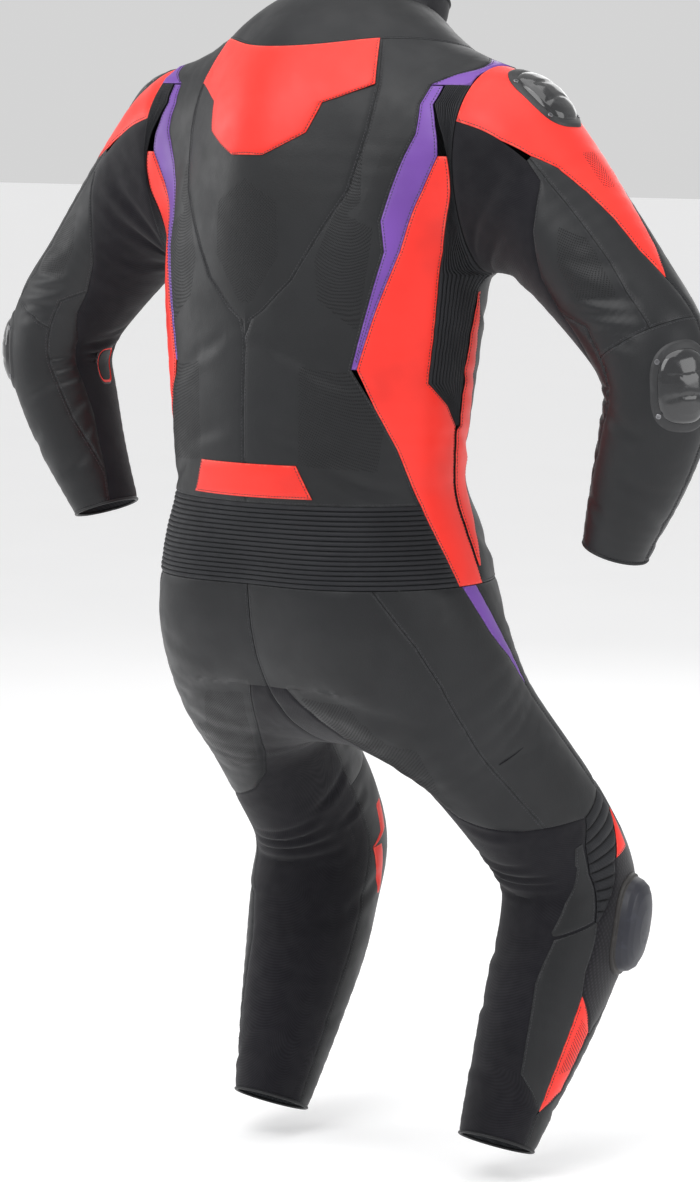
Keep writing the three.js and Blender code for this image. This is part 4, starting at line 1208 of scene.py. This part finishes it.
@dataclass(frozen=True)
class Binding:
    """A rolled edge round an opening of a tube."""

    name: str
    tube: Tube
    v: float
    radius: float = 1.9
    wall: float = LEATHER_WALL
    finish: str = "binding"

    def build(self, side: int) -> bpy.types.Object:
        """Makes the roll on one side.

        Args:
            side: 1 on the wearer's left or the middle, -1 on the right.
        Returns:
            The roll.
        """
        around = 120
        section = 10
        u = np.linspace(0, 360, around, endpoint=False)
        points = self.tube.surface(u, np.full(around, self.v))
        inward = self.tube.surface(u, np.full(around, self.v + (6 if self.v < 0 else -6)))
        normal = FIGURE.normals(points)
        along = unit(points - inward)
        lift = self.tube.crease_height(u, np.full(around, self.v), side) + uneven(points * (side, 1, 1))
        middle = points + normal * (lift - self.wall / 2)[:, None]
        turn = np.linspace(0, 2 * np.pi, section, endpoint=False)
        ring = (middle[:, None] + normal[:, None] * (np.cos(turn) * (self.radius + 0.3))[None, :, None]
                + along[:, None] * (np.sin(turn) * self.radius)[None, :, None])
        number = np.arange(around * section).reshape(around, section)
        next_ring = np.roll(number, -1, axis=0)
        faces = np.stack([number, next_ring, np.roll(next_ring, -1, axis=1), np.roll(number, -1, axis=1)],
                         axis=-1).reshape(-1, 4)
        volume_side = side if self.v < 0 else -side
        if volume_side > 0:
            faces = faces[:, ::-1]
        name = self.name + ("_left" if side > 0 else "_right")
        made = mesh_object(name, ring.reshape(-1, 3) * (side, 1, 1), faces, [self.finish], sharp=80)
        return made


class TrunkPanels:
    """The collar, the back, the sides, the front and the waist."""

    def __init__(self) -> None:
        """Cuts the trunk's panels."""
        back_armhole = armhole(50)
        marks = corner_heights(TRUNK_SEAMS) + [ARMHOLE_TOP_V, ARMHOLE_FOOT_V - 6, ARMHOLE_FOOT_V]
        collar_edge = level(ZIP_EDGE_U)
        self.panels = [
            Panel("collar_band", TRUNK, COLLAR_TOP_V, COLLAR_BAND_V, mirrored(collar_edge), collar_edge,
                  "collar", COLLAR_WALL, pair=False, stitched="t", step=5),
            Panel("collar_stand", TRUNK, COLLAR_BAND_V, COLLAR_SEAM_V, mirrored(collar_edge), collar_edge,
                  "black", COLLAR_WALL, pair=False, stitched="tb", marks=marks),
            Panel("back_centre", TRUNK, 8, 299.5, mirrored(seam("back_inner")), seam("back_inner"),
                  pair=False, marks=marks, perforated=TRUNK_PERFORATED[:1], step=5, crown=1.8),
            Panel("back_yoke", TRUNK, 9, 98, mirrored(seam("yoke_side")), seam("yoke_side"), "red", 1.5,
                  lift=2.2, pair=False, marks=marks, stitched="lrb", step=4),
            Panel("waist_rib", TRUNK, 487, WAIST_V, mirrored(seam("red_inner")), seam("red_inner"), "rib",
                  STRETCH_WALL, ribs=Ribs.LEVEL, rib_count=WAIST_RIBS, pair=False, stitched="",
                  rib_height=2.3, slot="stretch"),
            Panel("back_tab", TRUNK, 442, 480, mirrored(seam("tab_side")), seam("tab_side"), "red", 1.6,
                  lift=1.2, pair=False, stitched="lrb", step=4),
            Panel("front_zip", TRUNK, COLLAR_TOP_V, WAIST_V, collar_edge, level(360 - ZIP_EDGE_U), "zip",
                  pair=False, stitched="", crown=0.2),
            Panel("back_body", TRUNK, 8, 487, seam("back_inner"), seam("back_outer"), marks=marks,
                  perforated=TRUNK_PERFORATED[1:], stitched="lrb", step=5),
            Panel("back_insert", TRUNK, 40.3, 334, seam("back_outer"), seam("insert_outer"), "purple",
                  marks=marks, step=4, crown=0.6),
            Panel("shoulder_insert", TRUNK, 18, 40, seam("back_outer"), back_armhole, "purple", marks=marks,
                  step=3, crown=0.5, stitched="l"),
            Panel("side_red", TRUNK, 98, WAIST_V, changing(334, seam("insert_outer"), seam("red_inner")),
                  seam("red_outer"), "red", marks=marks),
            Panel("side_rib", TRUNK, 40, 400, changing(98, seam("rib_inner"), seam("red_outer")),
                  lambda v: np.where(v < ARMHOLE_FOOT_V, back_armhole(v), seam("rib_outer")(v)), "rib",
                  STRETCH_WALL, ribs=Ribs.UPRIGHT, rib_count=SIDE_RIBS, marks=marks, stitched="",
                  slot="stretch", rib_height=2.2),
            Panel("front_body", TRUNK, 8, WAIST_V,
                  lambda v: np.where(v < ARMHOLE_FOOT_V, armhole(150)(v),
                                     np.where(v <= 400, seam("rib_outer")(v), seam("red_outer")(v))),
                  collar_edge, marks=marks, stitched="lrb", step=7),
            Panel("side_sliver", TRUNK, 250, 560,
                  changing(400, seam("rib_outer", 0.4), seam("red_outer", 0.3)),
                  seam("sliver_outer"), "red", 0.9, lift=0.9, marks=marks, node=False, step=4),
        ]


class SleevePanels:
    """The panels of both sleeves."""

    def __init__(self) -> None:
        """Cuts the sleeve's panels."""
        marks = corner_heights(ARM_SEAMS)
        under = level(210)
        self.panels = [
            Panel("sleeve_red", ARM, 0, 212, seam("sleeve_red_back"), seam("sleeve_red_front"), "red",
                  marks=marks, perforated=RED_SLEEVE_PERFORATED, step=5),
            Panel("sleeve_outer", ARM, 60, 250, seam("outer_back"),
                  changing(212, seam("sleeve_red_back"), seam("front_top")), marks=marks,
                  stitched="lb", step=5),
            Panel("sleeve_back", ARM, 60, 250, changing(180, seam("stretch_back"), seam("gusset_back")),
                  seam("outer_back"), marks=marks, perforated=ARM_PERFORATED, stitched="lb", step=5),
            Panel("sleeve_stretch", ARM, 0, CUFF_V, level(-150), seam("stretch_back"), "stretch",
                  STRETCH_WALL, marks=marks, stitched="", step=5),
            Panel("sleeve_front", ARM, 0, CUFF_V,
                  changing(212, seam("sleeve_red_front"), seam("front_top")), under, marks=marks),
            Panel("forearm_back", ARM, 250, CUFF_V, changing(452, seam("gusset_back"), seam("stretch_back")),
                  seam("front_top"), marks=marks, stitched="lrtb", step=5),
            Panel("forearm_gusset", ARM, 180, 452, seam("stretch_back"), seam("gusset_back"), marks=marks,
                  stitched="r", step=4, crown=0.6),
        ]


class LegPanels:
    """The panels of both legs."""

    def __init__(self) -> None:
        """Cuts the leg's panels."""
        marks = corner_heights(LEG_SEAMS) + [99.9, CROTCH_V - 9, CROTCH_V]
        centre_back = middle_seam(360, 200, -360)
        centre_front = middle_seam(180, 340, 0)
        self.panels = [
            Panel("thigh_back", LEG, 0.4, 312, changing(99.9, centre_back, seam("leather_edge")),
                  seam("thigh_side"), marks=marks, perforated=LEG_PERFORATED[:1], stitched="lr", step=5),
            Panel("thigh_outer", LEG, 0.4, 342, changing(312, seam("thigh_side"), seam("leather_edge")),
                  changing(150, seam("purple_inner"), seam("front_side")), marks=marks,
                  stitched="lr", step=5),
            Panel("hip_stripe", LEG, 0.4, 150, seam("purple_inner"), seam("purple_outer"), "purple",
                  marks=marks, step=4, crown=0.5, stitched=""),
            Panel("thigh_front", LEG, 0.4, 341.7, changing(150, seam("purple_outer"), seam("front_side")),
                  centre_front, marks=marks, step=7),
            Panel("leg_stretch", LEG, 100, HEM_V, centre_back,
                  changing(342, seam("leather_edge"), seam("calf_back")), "stretch", STRETCH_WALL,
                  marks=marks, stitched="", step=6),
            Panel("knee_rib", LEG, 342, 486, seam("calf_back"), seam("knee_rib_front"), "rib", STRETCH_WALL,
                  ribs=Ribs.LEVEL, rib_count=KNEE_RIBS, stitched="", slot="stretch", rib_height=3.0, step=4),
            Panel("knee_loop", LEG, 342, 618,
                  lambda v: np.where(v <= 486, seam("knee_rib_front")(v),
                                     np.where(v < 582, seam("calf_front")(v), seam("shin_red_front")(v))),
                  seam("loop_front"), "loop", STRETCH_WALL, marks=marks, stitched="", slot="stretch", step=5),
            Panel("shin_front", LEG, 342, HEM_V,
                  lambda v: np.where(v <= 618, seam("loop_front")(v),
                                     np.where(v <= 722, seam("shin_red_front")(v), seam("calf_back")(v))),
                  level(INSEAM_U), marks=marks),
            Panel("calf_leather", LEG, 486, 722, seam("calf_back"), seam("calf_front"), marks=marks,
                  stitched="lr", step=5),
            Panel("shin_red", LEG, 582, 722, seam("calf_front"), seam("shin_red_front"), "red", marks=marks,
                  perforated=LEG_PERFORATED[1:], step=5),
            Panel("knee_patch", LEG, 366, 510, seam("patch_back"), seam("patch_front"), wall=1.2, lift=0.7,
                  marks=marks, node=False, step=4),
            Panel("knee_red", LEG, 372, 412, seam("knee_red_back"), seam("knee_red_front"), "red", 1.1,
                  lift=0.8, node=False, step=3, stitched="b"),
            Panel("knee_accent", LEG, 398, 444, seam("knee_accent_back"), seam("knee_accent_front"),
                  "red", 1.0, lift=0.8, node=False, step=3, stitched=""),
            Panel("knee_stripe", LEG, 444.5, 500, seam("knee_stripe_back"), seam("knee_stripe_front"),
                  "red", 1.0, lift=0.8, node=False, step=3, stitched=""),
        ]


class Guards:
    """The hard cups, the sliders and the pads inside the elbows."""

    def __init__(self) -> None:
        """Sets the guards' outlines and heights."""
        cup_shares = (0.0, 0.3, 0.55, 0.70, 0.76, 0.79, 0.83, 0.94, 1.0)
        self.domes = [
            Dome("shoulder_cup", ARM, 92, 33, 22, 24, cup_shares,
                 (11.6, 10.9, 9.0, 6.6, 4.6, 3.2, 3.6, 3.3, 1.4), ("cup", "cup_rim"), (0.78,),
                 screws=(35, 145, 215, 325), grooves=(-0.22, 0.22)),
            Dome("elbow_cup", ARM, 62, 303, 36, 36, cup_shares,
                 (10.6, 10.0, 8.3, 6.2, 4.4, 3.1, 3.5, 3.2, 1.4), ("cup", "cup_rim"), (0.78,),
                 screws=(40, 140, 220, 320), grooves=(-0.2, 0.2)),
            Dome("knee_slider", LEG, 108, 492, 27, 54, (0.0, 0.35, 0.6, 0.76, 0.86, 0.90, 0.92, 0.97, 1.0),
                 (23.0, 22.4, 20.6, 17.5, 12.0, 7.0, 4.6, 4.2, 1.6), ("slider", "slider_base"), (0.91,), 2.4),
            Dome("elbow_pad", ARM, -98, 300, 13, 46, (0.0, 0.70, 0.78, 0.84, 0.90, 1.0),
                 (2.6, 2.4, 1.6, 2.7, 1.7, 0.8), ("binding", "red", "cup_rim"), (0.76, 0.88), 4.0,
                 node=False),
        ]


class FrontZip:
    """The teeth of the closed front zip."""

    pitch: float = 3.1
    half_width: float = 2.7

    def build(self) -> bpy.types.Object:
        """Makes the two interlocked rows of teeth down the middle of the front."""
        v = np.arange(COLLAR_TOP_V + 4, WAIST_V - 3, self.pitch / 2)
        u = np.full(len(v), 180.0)
        points = TRUNK.surface(u, v)
        normal = FIGURE.normals(points)
        down = unit(np.gradient(points, axis=0))
        lift = TRUNK.crease_height(u, v, 1) + uneven(points)
        aside = np.cross(down, normal)
        sign = np.where(np.arange(len(v)) % 2 == 0, 1.0, -1.0)[:, None]
        middle = points + normal * lift[:, None] + aside * sign * self.half_width * 0.42
        corners = []
        for out in (-0.2, 1.5):
            for a, b in ((-1, -1), (1, -1), (1, 1), (-1, 1)):
                corners.append(middle + aside * a * self.half_width + down * b * 0.62 + normal * out)
        blocks = np.stack(corners, axis=1)
        pattern = np.array([(0, 3, 2, 1), (4, 5, 6, 7), (0, 1, 5, 4), (1, 2, 6, 5), (2, 3, 7, 6),
                            (3, 0, 4, 7)])
        faces = (pattern[None] + (np.arange(len(blocks)) * 8)[:, None, None]).reshape(-1, 4)
        made = mesh_object("front_zip_teeth", blocks.reshape(-1, 3), faces, ["teeth"], sharp=30)
        LOG.info("front zip: %d teeth", len(blocks))
        return made


@dataclass(frozen=True)
class Studio:
    """The floor, the lights and the camera."""

    azimuth: float = 219.0
    elevation: float = 7.0
    distance: float = 5.0
    aim_height: float = -0.605
    lens: float = 131.28
    floor_height: float = -1.285

    def direction(self, azimuth: float, elevation: float) -> Array:
        """The unit vector towards a place at those angles."""
        a = math.radians(azimuth)
        e = math.radians(elevation)
        return np.array([math.sin(a) * math.cos(e), -math.cos(a) * math.cos(e), math.sin(e)])

    def lamp(self, name: str, azimuth: float, elevation: float, distance: float, size: float,
             power: float) -> None:
        """A soft square light aimed at the middle of the suit."""
        data = bpy.data.lights.new(name, "AREA")
        data.shape = "SQUARE"
        data.size = size
        data.energy = power
        lamp = bpy.data.objects.new(name, data)
        way = self.direction(azimuth, elevation)
        lamp.location = way * distance + np.array([0, 0, self.aim_height])
        lamp.rotation_euler = self.facing(way)
        bpy.context.scene.collection.objects.link(lamp)

    def facing(self, way: Array) -> tuple[float, float, float]:
        """The turn that makes an object look back along a direction."""
        flat = math.hypot(way[0], way[1])
        return (math.atan2(flat, way[2]), 0.0, math.atan2(way[0], -way[1]))

    def build(self) -> None:
        """Makes the whole set."""
        scene = bpy.context.scene
        scene.view_settings.view_transform = "Standard"
        camera_data = bpy.data.cameras.new("photo_camera")
        camera_data.lens = self.lens
        camera_data.sensor_width = 36.0
        camera_data.clip_end = 60.0
        camera = bpy.data.objects.new("photo_camera", camera_data)
        way = self.direction(self.azimuth, self.elevation)
        camera.location = way * self.distance + np.array([0, 0, self.aim_height])
        camera.rotation_euler = self.facing(way)
        scene.collection.objects.link(camera)
        scene.camera = camera
        world = bpy.data.worlds.new("pale_studio")
        world.use_nodes = True
        scene.world = world
        tree = world.node_tree
        tree.nodes.clear()
        output = tree.nodes.new("ShaderNodeOutputWorld")
        pale = tree.nodes.new("ShaderNodeBackground")
        pale.inputs["Color"].default_value = (1, 1, 1, 1)
        pale.inputs["Strength"].default_value = 0.66
        tree.links.new(pale.outputs[0], output.inputs["Surface"])
        self.floor()
        self.lamp("key", 180, 42, 3.4, 2.2, 52)
        self.lamp("side", 275, 20, 3.4, 2.0, 30)
        self.lamp("top", 215, 80, 2.8, 2.4, 30)
        self.lamp("left_rim", 110, 18, 3.2, 1.6, 24)
        self.lamp("front_fill", 20, 25, 3.8, 2.4, 22)

    def floor(self) -> None:
        """A plain pale level floor."""
        half = 30.0
        points = np.array([(-half, -half, 0), (half, -half, 0), (half, half, 0), (-half, half, 0)], float)
        mesh = bpy.data.meshes.new("floor")
        mesh.from_pydata([tuple(p + (0, 0, self.floor_height)) for p in points], [], [(0, 1, 2, 3)])
        n = Nodes("pale_floor")
        n.link(n.mix(n.noise(3, 2), (0.86, 0.86, 0.865), (0.90, 0.90, 0.905)), n.shader.inputs["Base Color"])
        n.shader.inputs["Roughness"].default_value = 0.8
        n.shader.inputs["Emission Color"].default_value = (1, 1, 1, 1)
        n.shader.inputs["Emission Strength"].default_value = 0.22
        mesh.materials.append(n.material)
        floor = bpy.data.objects.new("floor", mesh)
        bpy.context.scene.collection.objects.link(floor)


def main() -> None:
    """Builds the suit piece by piece and sets it in the studio."""
    logging.basicConfig(level=logging.INFO, format="%(message)s")
    Studio().build()
    groups = [("trunk", TrunkPanels().panels), ("sleeves", SleevePanels().panels),
              ("legs", LegPanels().panels)]
    for group, panels in groups:
        stitches = Stitching(f"stitching_{group}")
        for panel in panels:
            panel.build(1, stitches)
            if panel.pair:
                panel.build(-1, stitches)
        stitches.build()
    for dome in Guards().domes:
        dome.build(1)
        dome.build(-1)
    for side in (1, -1):
        Binding("cuff_binding", ARM, CUFF_V).build(side)
        Binding("hem_binding", LEG, HEM_V).build(side)
    Binding("collar_binding", TRUNK, COLLAR_TOP_V, 2.1, COLLAR_WALL, "collar").build(1)
    FrontZip().build()


if __name__ == "__main__":
    main()
